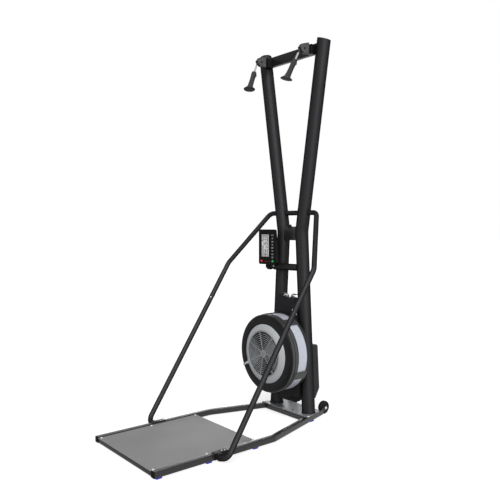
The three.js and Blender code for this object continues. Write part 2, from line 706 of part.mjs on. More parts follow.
function fanCarrier() {
  const { topZ, bottomZ, tabHalf, tabDrop, frontY, thickness } = carrier;
  const [topHalf, bottomHalf] = [carrierHalf(topZ), carrierHalf(bottomZ)];
  const face = polygon([
    [-topHalf, topZ], [-bottomHalf, bottomZ], [-tabHalf, bottomZ], [-tabHalf + tabDrop, bottomZ - tabDrop],
    [tabHalf - tabDrop, bottomZ - tabDrop], [tabHalf, bottomZ], [bottomHalf, bottomZ], [topHalf, topZ],
  ]);
  const edge = polygon([
    [topHalf - thickness, topZ], [bottomHalf - thickness, bottomZ], [bottomHalf, bottomZ], [topHalf, topZ],
  ]);
  const flange = (side) => solid(rightOrLeft(side, slabXZ(edge, frontY, upright.planeY)));
  const back = frontY + thickness;
  const boss = rodY(0, fan.centreZ, carrier.bossRadius, frontY, back + carrier.bossLength);
  const pinEnd = guideSheave.planeY + guideSheave.width / 2 + weld;
  const pin = (side) => rodY(side * guideSheave.halfSpan, guideSheave.centreZ, carrier.pinRadius,
    frontY + weld, pinEnd);
  const peg = rodY(bungeeX + bungee.span / 2, bungee.bottomZ + bungee.bendRadius, carrier.pegRadius,
    frontY + weld, spool.leftY + bungee.span / 2);
  const sheet = joined(solid(slabXZ(face, frontY, back)), flange(1), flange(-1)).subtract(bothUprights);
  return geometryOf(joined(sheet, boss, pin(1), pin(-1), peg).subtract(shaftRoom));
}

const bungeeX = -(spool.windingRadius + bungee.radius + cord.play);
place("fan_carrier", fanCarrier(), charcoal);

// Bridge between the uprights with the shaft's rear bearing
function bearingBridge() {
  const half = uprightX(fan.centreZ);
  const z0 = fan.centreZ - bridge.height / 2;
  const back = bridge.frontY + bridge.thickness;
  const plate = box(-half, half, bridge.frontY, back, z0, z0 + bridge.height).subtract(bothUprights);
  const boss = rodY(0, fan.centreZ, bridge.bossRadius, bridge.frontY - bridge.bossLength, back);
  return geometryOf(plate.add(boss).subtract(shaftRoom));
}
place("bearing_bridge", bearingBridge(), charcoal);

// Rear cover: a moulded shell on the backs of the uprights, open toward them
function coverSolid(inset) {
  const front = upright.planeY + upright.radius + rearCover.frontGap;
  const back = front + rearCover.depth - inset;
  const [z0, z1] = [rearCover.bottomZ + inset, rearCover.topZ - inset];
  const halfAt = (z) => uprightX(z) + rearCover.overlap - inset;
  const open = inset ? front - overrun : front;
  const plan = polygon([[-halfAt(z1), z1], [-halfAt(z0), z0], [halfAt(z0), z0], [halfAt(z1), z1]]);
  const edge = rearCover.topChamfer;
  const profile = polygon([
    [open, z0], [back - rearCover.chamferY, z0], [back, z0 + rearCover.chamferZ], [back, z1 - edge],
    [back - edge, z1], [open, z1],
  ]);
  const reach = halfAt(z0) + overrun;
  return solid(slabXZ(plan, open, back)).intersect(solid(slabYZ(profile, -reach, reach)));
}
place("rear_cover", geometryOf(coverSolid(0).subtract(coverSolid(rearCover.wall))), black);

// Fan housing: a moulded front ring with a spider for the front bearing
function fanFrontRing() {
  const { faceY, ringInner, ringFlat, ringRound, ringRadius, edgeDepth, stepY, stepRadius, wall } = fan;
  const profile = [
    [ringInner, faceY], [ringFlat, faceY], [ringRound, faceY + edgeDepth / 4],
    [ringRadius, faceY + edgeDepth],
    [ringRadius, stepY], [stepRadius, stepY + wall], [stepRadius, fan.bandStart - seat],
    [stepRadius - wall, fan.bandStart - seat], [ringRadius - 2 * wall, faceY + edgeDepth + wall],
    [ringFlat, faceY + wall], [ringInner, faceY + wall],
  ];
  const ring = turnedRing(profile, round.fan);
  ring.translate(0, 0, fan.centreZ);
  const back = faceY + wall + fan.spiderDepth;
  const hubFront = grille.frontY + grille.thickness + seat;
  let spider = rodY(0, fan.centreZ, fan.hubRadius, hubFront, fan.hubBack, round.hub);
  for (let i = 0; i < fan.spiderArms; i += 1) {
    const arm = new THREE.BoxGeometry(ringInner + wall, back - faceY - wall + weld, fan.spiderWidth);
    arm.translate((ringInner + wall) / 2 + wall, (back + faceY + wall - weld) / 2, 0);
    arm.rotateY(((i + 0.5) / fan.spiderArms) * Math.PI * 2);
    arm.translate(0, 0, fan.centreZ);
    spider = spider.add(solid(arm));
  }
  return geometryOf(solid(ring).add(spider).subtract(shaftRoom));
}

function perforatedBand() {
  const profile = [
    [fan.bandRadius, fan.bandStart], [fan.bandRadius, fan.bandEnd - seat],
    [fan.bandRadius - fan.bandWall, fan.bandEnd - seat], [fan.bandRadius - fan.bandWall, fan.bandStart],
  ];
  const band = turnedRing(profile, round.fan);
  band.translate(0, 0, fan.centreZ);
  return band;
}

// The back shell closes the drum. It stands off the carrier on four bosses, and four straps bridge
// the band and lap over the front ring.
function fanBackShell() {
  const { backRadius, backY, bandEnd, wall, centreZ } = fan;
  const bore = shaft.radius + wall;
  const profile = [
    [backRadius, bandEnd], [backRadius, backY - 2 * wall], [backRadius - 2 * wall, backY], [bore, backY],
    [bore, backY - wall], [backRadius - 2 * wall, backY - wall], [backRadius - wall, backY - 2 * wall],
    [backRadius - wall, bandEnd],
  ];
  const ring = turnedRing(profile, round.fan);
  ring.translate(0, 0, centreZ);
  let shell = solid(ring);
  for (const [x, z] of [[1, 1], [1, -1], [-1, 1], [-1, -1]]) {
    shell = shell.add(rodY(x * fan.standoffX, centreZ + z * fan.standoffZ, fan.standoffRadius,
      backY - wall / 2, carrier.frontY - seat));
  }
  for (const degrees of strap.degrees) {
    const [from, to] = [degrees - strap.sweepDegrees / 2, degrees + strap.sweepDegrees / 2].map(radians);
    const low = sector(fan.stepRadius + seat, strap.radius, from, to);
    const piece = slabXZ(low, strap.frontY, bandEnd + strap.rearLap);
    piece.translate(0, 0, centreZ);
    shell = shell.add(solid(piece));
  }
  return geometryOf(shell);
}

// Grille: rings of arc slots between spokes, held at its hub on the spider
function grilleDisc() {
  const shape = new THREE.Shape(circle(grille.radius, round.fan));
  const step = (Math.PI * 2) / grille.spokes;
  for (let ring = 0; ring < grille.slots; ring += 1) {
    const inner = grille.firstSlot + ring * grille.slotPitch;
    const outer = inner + grille.slotWidth;
    const margin = grille.spokeWidth / 2 / inner;
    for (let i = 0; i < grille.spokes; i += 1) {
      const from = radians(grille.firstSpokeDegrees) + i * step + margin;
      const steps = ring < grille.slots / 2 ? grille.innerSteps : grille.outerSteps;
      shape.holes.push(new THREE.Path(sectorPoints(inner, outer, from, from + step - 2 * margin, steps)));
    }
  }
  const rear = grille.frontY + grille.thickness;
  const disc = solid(slabXZ(shape, grille.frontY, rear));
  const hubFront = grille.frontY - grille.hubProud;
  const hub = turnedSolid([
    [0, hubFront], [grille.hubRadius - grille.hubProud, hubFront], [grille.hubRadius, grille.frontY + weld / 2],
    [grille.hubRadius, rear], [0, rear],
  ], round.small, 0, 0);
  const geometry = geometryOf(disc.add(hub));
  geometry.translate(0, 0, fan.centreZ);
  return geometry;
}

// Damper: a dished ring with two shutter blades behind the grille, turned by its lever
function damperRing() {
  const inner = boreFor(grille.radius, damper.innerGap, round.fan);
  const outer = fan.ringInner * Math.cos(Math.PI / round.fan) - damper.outerGap;
  const { frontY } = grille;
  const lipBack = frontY + damper.lipDepth;
  const lipRadius = inner + damper.lip;
  const ring = turnedRing([
    [inner, frontY], [outer, fan.faceY - damper.coneThickness / 4], [outer, fan.faceY + damper.coneThickness],
    [lipRadius, frontY + damper.coneThickness + weld], [lipRadius, lipBack], [inner, lipBack],
  ], round.fan);
  let body = solid(ring);
  const halfSweep = radians(damper.bladeSweepDegrees / 2);
  for (const middle of [0, Math.PI]) {
    const [from, to] = [middle - halfSweep, middle + halfSweep];
    const blade = sector(damper.bladeInner, inner + damper.lip / 2, from, to);
    body = body.add(solid(slabXZ(blade, lipBack - damper.bladeThickness - weld / 2, lipBack - weld / 2)));
  }
  const [root, tip] = [damper.leverRootWidth / 2, damper.leverTipWidth / 2];
  const lever = slabXZ(polygon([
    [damper.leverRoot, -root], [damper.leverTip, -tip], [damper.leverTip, tip], [damper.leverRoot, root],
  ]), damper.leverFront, fan.faceY - damper.leverGap);
  lever.rotateY(-radians(damper.leverDegrees));
  const geometry = geometryOf(body.add(solid(lever)));
  geometry.translate(0, 0, fan.centreZ);
  return geometry;
}

// Rotor: a back disc, radial blades and a front ring
function fanRotor() {
  const { radius, bladeInner, frontY, backY, disc, ringWidth, ringDepth, hubRadius, hubFront } = rotor;
  let body = rodY(0, 0, radius, backY - disc, backY, round.fan);
  body = body.add(rodY(0, 0, hubRadius, hubFront, backY - weld));
  const [ringInner, ringBack] = [radius - ringWidth, frontY + ringDepth];
  const ring = turnedRing([
    [ringInner, frontY], [radius, frontY], [radius, ringBack], [ringInner, ringBack],
  ], round.fan);
  body = body.add(solid(ring));
  for (let i = 0; i < rotor.blades; i += 1) {
    const [x0, x1] = [bladeInner, radius - ringWidth / 4];
    const blade = new THREE.BoxGeometry(x1 - x0, backY - disc - frontY, rotor.bladeThickness);
    blade.translate((x0 + x1) / 2, (frontY + weld + backY - disc + weld) / 2, 0);
    blade.rotateY((i / rotor.blades) * Math.PI * 2);
    body = body.add(solid(blade));
  }
  return geometryOf(body.translate([0, 0, fan.centreZ]).subtract(shaftRoom));
}

place("fan_front_ring", fanFrontRing(), black);
place("fan_band", perforatedBand(), silver);
place("fan_back_shell", fanBackShell(), black);
place("fan_grille", grilleDisc(), silver);
place("damper_ring", damperRing(), silver);
place("fan_rotor", fanRotor(), black);
place("fan_shaft", geometryOf(shaftRod(shaft.radius, 0)), silver);

// Cord spools on the fan shaft and the silver guide sheaves above the carrier
function cordSpool(y) {
  const { width, flangeRadius, flange, windingRadius } = spool;
  const half = width / 2;
  const bore = boreFor(shaft.radius, shaft.bearingGap, round.wheel);
  const geometry = turnedRing([
    [bore, -half], [flangeRadius, -half], [flangeRadius, flange - half], [windingRadius, flange - half],
    [windingRadius, half - flange], [flangeRadius, half - flange], [flangeRadius, half], [bore, half],
  ], round.wheel);
  geometry.translate(0, y, fan.centreZ);
  return geometry;
}

function groovedWheel({ radius, groove }, width, bore) {
  const [half, floor] = [width / 2, cord.radius / 2];
  return turnedRing([
    [bore, -half], [radius, -half], [groove, -floor], [groove, floor], [radius, half], [bore, half],
  ], round.wheel);
}

place("cord_spool_right", cordSpool(spool.rightY), black);
place("cord_spool_left", cordSpool(spool.leftY), black);
for (const [name, side] of sides) {
  const sheave = groovedWheel(guideSheave, guideSheave.width, carrier.pinRadius + seat);
  sheave.translate(side * guideSheave.halfSpan, guideSheave.planeY, guideSheave.centreZ);
  place(`guide_sheave_${name}`, sheave, silver);
}

// The corner where a cord's two straight runs would meet, had it no wheel of the given radius to go round
function cornerRound(centre, radius, inward, outward) {
  const turn = Math.sign(inward.x * outward.y - inward.y * outward.x);
  const [a, b] = [inward, outward].map((v) => new THREE.Vector2(turn * v.y, -turn * v.x).normalize());
  return a.clone().add(b).multiplyScalar(radius / (1 + a.dot(b))).add(centre);
}

const flat = (x, z) => new THREE.Vector2(x, z);
const headPulleyZ = cordTopZ - (head.groove + cord.radius + cord.play);
const swivelRoom = cord.radius * Math.tan(radians(head.swivelDegrees) / 2) + seat;

// Drive cord: from its spool over the guide sheave into the upright, up to the beam and out to its head.
// It stops short of the swivel by the room that the head's cord needs when it turns.
function driveCord(side) {
  const spoolY = side > 0 ? spool.rightY : spool.leftY;
  const start = flat(side * (spool.windingRadius + cord.radius + cord.play), fan.centreZ);
  const sheave = flat(guideSheave.halfSpan, guideSheave.centreZ);
  const toSheave = sheave.clone().sub(flat(grooveLine, 0)).sub(start);
  const first = cornerRound(sheave, grooveLine, toSheave, flat(1, 0));
  const kinkAim = flat(kinkPegX - kinkLine, upright.kinkZ);
  const second = cornerRound(flat(turnPegX, turnPegZ), pegLine, flat(1, 0), kinkAim.clone().sub(
    flat(turnPegX + pegLine, turnPegZ)));
  const beamTurn = flat(uprightX(cordTopZ), cordTopZ);
  const third = cornerRound(flat(kinkPegX, upright.kinkZ), kinkLine, kinkAim.clone().sub(second),
    beamTurn.clone().sub(kinkAim));
  const corners = [
    at(start.x, spoolY, start.y), at(first.x, guideSheave.planeY, first.y),
    at(second.x, guideSheave.planeY, second.y), at(third.x, guideSheave.planeY, third.y),
    at(beamTurn.x, upright.planeY, beamTurn.y),
    at(headX, upright.planeY, cordTopZ), at(headX, swivel.y + swivelRoom, cordTopZ),
  ];
  const bend = upright.wall + turnPeg.radius;
  const path = new BentPath(corners, [grooveLine, pegLine, kinkLine, bend, bend], cord.arcSteps);
  return rightOrLeft(side, swept(pipeSection(cord.radius, 0, cord.sides), path));
}

for (const [name, side] of sides) {
  place(`drive_cord_${name}`, driveCord(side), cordGrey);
}

// Return bungee: one elastic cord from spool to spool, under a peg near the floor
function returnBungee() {
  const low = bungee.bottomZ;
  const corners = [
    at(bungeeX, spool.rightY, bungee.topZ), at(bungeeX, spool.rightY, low),
    at(bungeeX + bungee.span, spool.leftY, low), at(bungeeX, spool.leftY, bungee.topZ),
  ];
  const path = new BentPath(corners, [bungee.bendRadius, bungee.bendRadius], cord.arcSteps);
  return swept(pipeSection(bungee.radius, 0, cord.sides), path);
}
place("return_bungee", returnBungee(), cordGrey);

// Pulley heads: the side outline, in Y and Z, is given round the pulley's axle
const axleToPoint = ([y, z]) => [head.pulleyY + y, headPulleyZ + z];
const headTop = headPulleyZ + head.blockTop;
const headBottom = headPulleyZ + head.blockBottom;
const roomTop = headTop - head.ear;
const roomBottom = headBottom + head.ear;

// Head brackets on the beam: a block, and an eye that the head swivels on. The cord runs through both.
function headBracket(side) {
  const beamFront = upright.planeY - beam.depth / 2 - seat;
  const [knobTop, nutBottom] = [headTop + swivel.knobHeight, headBottom - swivel.nutHeight];
  const x = headX;
  const block = box(x - swivel.blockHalf, x + swivel.blockHalf, swivel.blockFrontY, beamFront, headBottom,
    headTop);
  const neck = box(x - swivel.neckHalf, x + swivel.neckHalf, swivel.y, swivel.blockFrontY + weld,
    roomBottom + seat, roomTop - seat);
  const eye = rodZ(x, swivel.y, swivel.eyeRadius, roomBottom + seat, roomTop - seat);
  const pin = rodZ(x, swivel.y, swivel.pinRadius, nutBottom, knobTop);
  const knob = rodZ(x, swivel.y, swivel.knobRadius, headTop + seat, knobTop);
  const nut = rodZ(x, swivel.y, swivel.nutRadius, nutBottom, headBottom - seat);
  const bore = rodY(x, cordTopZ, swivel.boreRadius, swivel.y - weld, beamFront + overrun);
  const slot = box(x - overrun, x + overrun, 0, swivel.y, cordTopZ - swivel.slotHeight / 2,
    cordTopZ + swivel.slotHeight / 2);
  const body = joined(block, neck, eye, pin, knob, nut);
  return rightOrLeft(side, geometryOf(body.subtract(bore).subtract(slot)));
}

const pullAngle = radians(head.pullDegrees);
const pull = at(0, -Math.sin(pullAngle), -Math.cos(pullAngle));
const headLine = head.groove + cord.radius + cord.play;
const headCorner = at(headX, head.pulleyY - headLine * Math.tan((Math.PI / 2 - pullAngle) / 2), cordTopZ);

// Each edge of a closed outline is moved inward by the given distance.
function inset(points, distance) {
  const corners = points.map(([a, b]) => new THREE.Vector2(a, b));
  return corners.map((corner, i) => {
    const before = corner.clone().sub(corners.at(i - 1)).normalize();
    const after = corners[(i + 1) % corners.length].clone().sub(corner).normalize();
    const normals = [before, after].map((v) => new THREE.Vector2(-v.y, v.x));
    const share = distance / (1 + normals[0].dot(normals[1]));
    return corner.add(normals[0].add(normals[1]).multiplyScalar(share)).toArray();
  });
}

// The head's housing: two side plates, a rim over the pulley, and an ear above and below the eye
function headHousing(side) {
  const x = headX;
  const half = head.width / 2;
  const outline = head.outline.map(axleToPoint);
  const shell = solid(slabYZ(polygon(outline), x - half, x + half));
  const earFront = swivel.y - head.earRadius;
  const reach = swivel.y + overrun;
  const inside = inset(outline, head.rim).map(([y, z]) => [y > earFront - head.rim ? reach : y, z]);
  const inner = half - head.side;
  const room = solid(slabYZ(polygon(inside), x - inner, x + inner));
  const nutRoom = box(x - inner, x + inner, earFront, reach, headBottom - overrun, headBottom);
  const ear = (z0, z1) => rodZ(x, swivel.y, head.earRadius, z0, z1).add(
    box(x - inner - weld, x + inner + weld, earFront - weld, swivel.y, z0, z1));
  const ears = ear(headBottom, roomBottom).add(ear(roomTop, headTop));
  const pinHole = rodZ(x, swivel.y, swivel.pinRadius + seat, headBottom - overrun, headTop + overrun);
  const axle = rodX(head.pulleyY, headPulleyZ, head.axleRadius, x - half, x + half);
  const mouthEnd = headCorner.clone().addScaledVector(pull, head.cordEnd + overrun);
  const mouthPath = new BentPath([headCorner, mouthEnd], [], 1);
  const mouth = solid(swept(pipeSection(head.mouthRadius, 0, round.hub), mouthPath));
  const body = shell.subtract(room).subtract(nutRoom).add(axle).add(ears);
  return rightOrLeft(side, geometryOf(body.subtract(pinHole).subtract(mouth)));
}

function headPulley(side) {
  const geometry = groovedWheel(head, head.pulleyWidth, head.axleRadius + seat);
  geometry.rotateZ(-Math.PI / 2);
  geometry.translate(side * headX, head.pulleyY, headPulleyZ);
  return geometry;
}

function headCord(side) {
  const end = headCorner.clone().addScaledVector(pull, head.cordEnd);
  const start = at(headX, swivel.y - swivelRoom, cordTopZ);
  const path = new BentPath([start, headCorner, end], [headLine], cord.arcSteps);
  return rightOrLeft(side, swept(pipeSection(cord.radius, 0, cord.sides), path));
}

for (const [name, side] of sides) {
  place(`head_bracket_${name}`, headBracket(side), black);
  place(`head_housing_${name}`, headHousing(side), charcoal);
  place(`head_pulley_${name}`, headPulley(side), black);
  place(`head_cord_${name}`, headCord(side), cordGrey);
}

// Pull handles: a ferrule on the cord's end, and a grip with a flared pommel
function alongPull(geometry, side) {
  const start = headCorner.clone().addScaledVector(pull, head.cordEnd + cord.play);
  geometry.rotateX(-pullAngle);
  geometry.rotateY(radians(handle.inwardDegrees));
  geometry.translate(start.x, start.y, start.z);
  return rightOrLeft(side, geometry);
}

function turnedDown(profile, sidesCount) {
  const geometry = turned(profile, sidesCount);
  geometry.rotateX(-Math.PI / 2);
  return geometry;
}

function handleFerrule(side) {
  const { stub, connectorEnd, connectorRadius, sleeveRadius } = handle;
  const end = handle.gripStart + stub;
  const profile = [
    [0, 0], [cord.radius, 0], [cord.radius, stub], [connectorRadius, stub + handle.cone],
    [connectorRadius, connectorEnd - handle.sleeveLead], [sleeveRadius, connectorEnd], [sleeveRadius, end],
    [0, end],
  ];
  return alongPull(turnedDown(profile, round.handrail), side);
}

// The flare is slanted from its start on: its rear edge is drawn up along the grip and its front edge down.
function slanted(geometry) {
  const points = geometry.attributes.position;
  for (let i = 0; i < points.count; i += 1) {
    const share = (-points.getZ(i) - handle.gripEnd) / (handle.flareEnd - handle.gripEnd);
    const slope = Math.tan(radians(handle.pommelSlantDegrees)) * THREE.MathUtils.clamp(share, 0, 1);
    points.setZ(i, points.getZ(i) + points.getY(i) * slope);
  }
  return geometry;
}

function handleGrip(side) {
  const { gripStart, gripEnd, flareEnd, length, neckRadius, gripRadius, waistRadius, pommelRadius } = handle;
  const { palmProud, pommelEdge, pommelHalf } = handle;
  const bore = handle.sleeveRadius + seat;
  const sleeveEnd = gripStart + handle.stub + seat;
  const profile = [
    [bore, gripStart], [neckRadius, gripStart], [gripRadius, gripStart + handle.neckRise],
    [gripRadius, gripStart + handle.palmStart], [waistRadius, (gripStart + gripEnd) / 2],
    [gripRadius, gripEnd - handle.palmEnd], [gripRadius + palmProud, gripEnd],
    [gripRadius + handle.flareProud, flareEnd - handle.flareLead],
    [pommelRadius - pommelEdge, flareEnd - pommelHalf], [pommelRadius, flareEnd + pommelHalf],
    [pommelRadius - pommelEdge, length - pommelHalf], [0, length], [0, sleeveEnd], [bore, sleeveEnd],
  ];
  const grip = slanted(turnedDown([...profile, profile[0]], round.hub));
  const lug = new THREE.BoxGeometry(handle.lugWidth, handle.lugProud + gripRadius, handle.lugLength);
  lug.translate(0, (handle.lugProud + gripRadius) / 2 + bore, -(handle.lugStart + handle.lugLength / 2));
  return alongPull(geometryOf(solid(grip).add(solid(lug))), side);
}

for (const [name, side] of sides) {
  place(`handle_ferrule_${name}`, handleFerrule(side), paleCord);
  place(`handle_grip_${name}`, handleGrip(side), rubber);
}

// Console bar: welded to the right upright, across the front of the left one, to a rounded end
const barTurn = radians(consoleBar.turnDegrees);
const barDirection = at(-Math.cos(barTurn), -Math.sin(barTurn), 0);
const barStart = at(consoleBar.startX, consoleBar.startY, consoleBar.axisZ);

function consoleBarSolid() {
  const { bigRadius, smallRadius, bigLength, length, tubeLap } = consoleBar;
  const profile = [
    [0, -tubeLap], [bigRadius, -tubeLap], [bigRadius, bigLength - consoleBar.step], [smallRadius, bigLength],
    [smallRadius, length - consoleBar.endRound],
    [smallRadius * consoleBar.endShare, length - consoleBar.endRise], [0, length],
  ];
  const geometry = turned(profile, round.upright);
  geometry.rotateZ(Math.PI / 2);
  geometry.rotateZ(barTurn);
  geometry.translate(barStart.x, barStart.y, barStart.z);
  return geometryOf(solid(geometry).subtract(bothUprights));
}
place("console_bar", consoleBarSolid(), charcoal);

// The console tilts on the bar. Its own frame has X along the bar and -Y toward the user.
const consoleGroup = new THREE.Group();
consoleGroup.position.copy(barStart).addScaledVector(barDirection, consoleUnit.along);
consoleGroup.rotation.z = barTurn;
machine.add(consoleGroup);

function placeOnConsole(name, geometry, material) {
  const mesh = place(name, geometry, material);
  consoleGroup.add(mesh);
}

const faceY = -consoleUnit.faceOut;
const consoleBottom = consoleUnit.bottomRise;
const consoleMid = consoleBottom + consoleUnit.height / 2;
const backSlope = (consoleUnit.thickBottom - consoleUnit.thickTop) / consoleUnit.height;
const consoleBackAt = (z) => faceY + consoleUnit.thickBottom - backSlope * (z - consoleBottom);

function consoleHousing() {
  const { width, height, thickBottom, screenLeft, screenWidth, screenTop, screenHeight } = consoleUnit;
  const outline = roundedRectangle(width, height, consoleUnit.corner);
  const block = slabXZ(outline, faceY, faceY + thickBottom, 4);
  block.translate(0, 0, consoleMid);
  const top = consoleBottom + height;
  const wedge = slabYZ(polygon([
    [consoleBackAt(consoleBottom), consoleBottom], [faceY + thickBottom + overrun, consoleBottom],
    [faceY + thickBottom + overrun, top + weld], [consoleBackAt(top + weld), top + weld],
  ]), -width, width);
  const screen = box(screenLeft, screenLeft + screenWidth, faceY - overrun, faceY + consoleUnit.screenDepth,
    consoleMid + screenTop - screenHeight, consoleMid + screenTop);
  const hole = (side) => rodY(side * consoleUnit.buttonHalf, consoleMid - consoleUnit.buttonDrop,
    consoleUnit.buttonRadius + consoleUnit.buttonGap, faceY - overrun, faceY + consoleUnit.buttonDepth);
  return geometryOf(solid(block).subtract(solid(wedge)).subtract(joined(screen, hole(1), hole(-1))));
}

function consoleScreen() {
  const { screenLeft, screenWidth, screenTop, screenHeight, screenDepth, screenGap } = consoleUnit;
  return geometryOf(box(screenLeft + screenGap, screenLeft + screenWidth - screenGap, faceY + screenGap,
    faceY + screenDepth - screenGap, consoleMid + screenTop - screenHeight + screenGap,
    consoleMid + screenTop - screenGap));
}

function consoleButton(side) {
  const { buttonProud, buttonDepth, travel, buttonRadius } = consoleUnit;
  return geometryOf(rodY(side * consoleUnit.buttonHalf, consoleMid - consoleUnit.buttonDrop, buttonRadius,
    faceY - buttonProud, faceY + buttonDepth - travel - seat));
}

function consoleClamp() {
  const { clampWall, clampGap, clampWidth, neckWidth, neckTop, neckDepth, clampAlong, along } = consoleUnit;
  const x = along - clampAlong;
  const outer = consoleBar.smallRadius + clampGap + clampWall;
  const ring = rodX(0, 0, outer, x - clampWidth / 2, x + clampWidth / 2, round.upright);
  const bore = rodX(0, 0, consoleBar.smallRadius + clampGap, x - clampWidth, x + clampWidth, round.upright);
  const neckBase = consoleBackAt(consoleBottom + seat) + seat;
  const neck = slabYZ(polygon([
    [neckBase, consoleBottom + seat], [0, consoleBottom + seat],
    [consoleBackAt(neckTop) + neckDepth, neckTop], [consoleBackAt(neckTop) + seat, neckTop],
  ]), x - neckWidth / 2, x + neckWidth / 2);
  return geometryOf(ring.add(solid(neck)).subtract(bore));
}

placeOnConsole("console_clamp", consoleClamp(), black);
placeOnConsole("console_housing", consoleHousing(), black);
placeOnConsole("console_screen", consoleScreen(), glass);
placeOnConsole("button_red", consoleButton(-1), red);
placeOnConsole("button_green", consoleButton(1), green);

export default machine;
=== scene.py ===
import math

import bmesh
import bpy
from mathutils import Matrix, Vector


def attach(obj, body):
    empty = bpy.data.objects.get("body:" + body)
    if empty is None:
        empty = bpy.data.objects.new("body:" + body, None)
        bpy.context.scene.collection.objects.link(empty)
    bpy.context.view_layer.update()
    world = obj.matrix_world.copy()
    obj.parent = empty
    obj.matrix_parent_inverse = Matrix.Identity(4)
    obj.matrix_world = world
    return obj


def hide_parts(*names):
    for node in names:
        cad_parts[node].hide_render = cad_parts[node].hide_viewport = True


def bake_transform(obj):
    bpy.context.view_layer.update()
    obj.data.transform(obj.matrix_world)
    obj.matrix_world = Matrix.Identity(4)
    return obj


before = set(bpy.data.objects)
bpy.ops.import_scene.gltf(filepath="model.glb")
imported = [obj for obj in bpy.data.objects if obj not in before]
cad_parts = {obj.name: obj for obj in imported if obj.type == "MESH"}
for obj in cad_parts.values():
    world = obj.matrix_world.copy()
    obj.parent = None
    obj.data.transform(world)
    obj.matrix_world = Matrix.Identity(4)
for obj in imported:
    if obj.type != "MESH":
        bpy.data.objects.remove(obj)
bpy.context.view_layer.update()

# The camera stands to the right of the platform and a little behind it, at chest height, and looks
# slightly down. Its lens is that of an ordinary product photograph.
# Every place on the machine is counted in millimetres from the front end of the floor rails.
half_depth = 642.5


def spot(x, y, z):
    return Vector((x, y - half_depth, z)) / 1000


lens = bpy.data.cameras.new("product_lens")
lens.sensor_width, lens.lens = 36, 42.905
camera = bpy.data.objects.new("product_camera", lens)
camera.location = spot(2546, -1306, 1121)
camera.rotation_euler = (math.radians(90 - 2.386), 0, math.radians(50.57))
bpy.context.scene.collection.objects.link(camera)
bpy.context.scene.camera = camera

# The studio: a white floor that runs back to a white wall of light, a soft key lamp above the
# camera, a low one beside it, a weaker one from the right, and one behind the machine. The floor
# keeps the machine's soft shadow.


def linear(code):
    channels = [int(code[i:i + 2], 16) / 255 for i in (1, 3, 5)]
    return [c / 12.92 if c <= 0.04045 else ((c + 0.055) / 1.055) ** 2.4 for c in channels] + [1]


def add(tree, kind, inputs=None, **settings):
    """A node with its settings. An input is a number, a socket, or a node whose first output is meant."""
    made = tree.nodes.new(kind)
    for key, value in settings.items():
        setattr(made, key, value)
    for key, value in (inputs or {}).items():
        if isinstance(value, bpy.types.Node):
            value = value.outputs[0]
        if isinstance(value, bpy.types.NodeSocket):
            tree.links.new(value, made.inputs[key])
        else:
            made.inputs[key].default_value = value
    return made


def bare_tree(owner):
    """The owner's empty tree, and 1 where it is seen, by eye or in gloss or glass, 0 where it lights"""
    owner.use_nodes = True
    tree = owner.node_tree
    tree.nodes.clear()
    ray = add(tree, "ShaderNodeLightPath").outputs
    seen = add(tree, "ShaderNodeMath", {0: ray["Is Camera Ray"], 1: ray["Is Glossy Ray"]}, operation="MAXIMUM")
    return tree, add(tree, "ShaderNodeMath", {0: seen, 1: ray["Is Transmission Ray"]}, operation="MAXIMUM")


world = bpy.data.worlds.new("studio_air")
bpy.context.scene.world = world
air, seen = bare_tree(world)
level = add(air, "ShaderNodeMapRange", {"Value": seen, "To Min": 0.12, "To Max": 1.0})
glow = add(air, "ShaderNodeBackground", {"Color": linear("#ffffff"), "Strength": level})
add(air, "ShaderNodeOutputWorld", {"Surface": glow})

floor_mesh = bpy.data.meshes.new("studio_floor")
floor_mesh.from_pydata([(-40, -40, 0), (40, -40, 0), (40, 40, 0), (-40, 40, 0)], [], [(0, 1, 2, 3)])
floor = bpy.data.objects.new("studio_floor", floor_mesh)
bpy.context.scene.collection.objects.link(floor)
white_vinyl = bpy.data.materials.new("white_vinyl")
vinyl, seen = bare_tree(white_vinyl)
matt = add(vinyl, "ShaderNodeBsdfDiffuse", {"Color": linear("#a8a8a8")})
lit = add(vinyl, "ShaderNodeBsdfDiffuse", {"Color": linear("#a4a4a4")})
lift = add(vinyl, "ShaderNodeEmission", {"Color": linear("#ffffff"), "Strength": 0.8})
both = add(vinyl, "ShaderNodeAddShader", {0: lit, 1: lift})
mixed = add(vinyl, "ShaderNodeMixShader", {"Fac": seen, 1: matt, 2: both})
add(vinyl, "ShaderNodeOutputMaterial", {"Surface": mixed})
floor_mesh.materials.append(white_vinyl)

for name, strength, spread, way in (
        ("key_lamp", 2.4, 24, (0.47, -0.5, 0.73)),
        ("front_lamp", 1.4, 28, (0.9, -0.42, 0.14)),
        ("flank_lamp", 0.8, 20, (0.95, -0.05, 0.3)),
        ("rear_lamp", 0.9, 20, (-0.62, 0.5, -0.02))):
    lamp = bpy.data.lights.new(name, "SUN")
    lamp.energy, lamp.angle = strength, math.radians(spread)
    holder = bpy.data.objects.new(name, lamp)
    holder.rotation_euler = Vector(way).to_track_quat("Z", "Y").to_euler()
    bpy.context.scene.collection.objects.link(holder)
bpy.context.scene.view_settings.view_transform = "Standard"

# Floor rails: 30 mm square steel tube, bent once and drawn in to the tail, where a welded tab
# carries the wheel. They are powder coated in charcoal, like every tube of the machine.


def finish(name, colour, roughness, metallic=0.0, **sockets):
    made = bpy.data.materials.new(name)
    made.use_nodes = True
    shader = made.node_tree.nodes["Principled BSDF"]
    sockets |= {"Base Color": linear(colour), "Roughness": roughness, "Metallic": metallic}
    for key, value in sockets.items():
        shader.inputs[key.replace("_", " ")].default_value = value
    return made


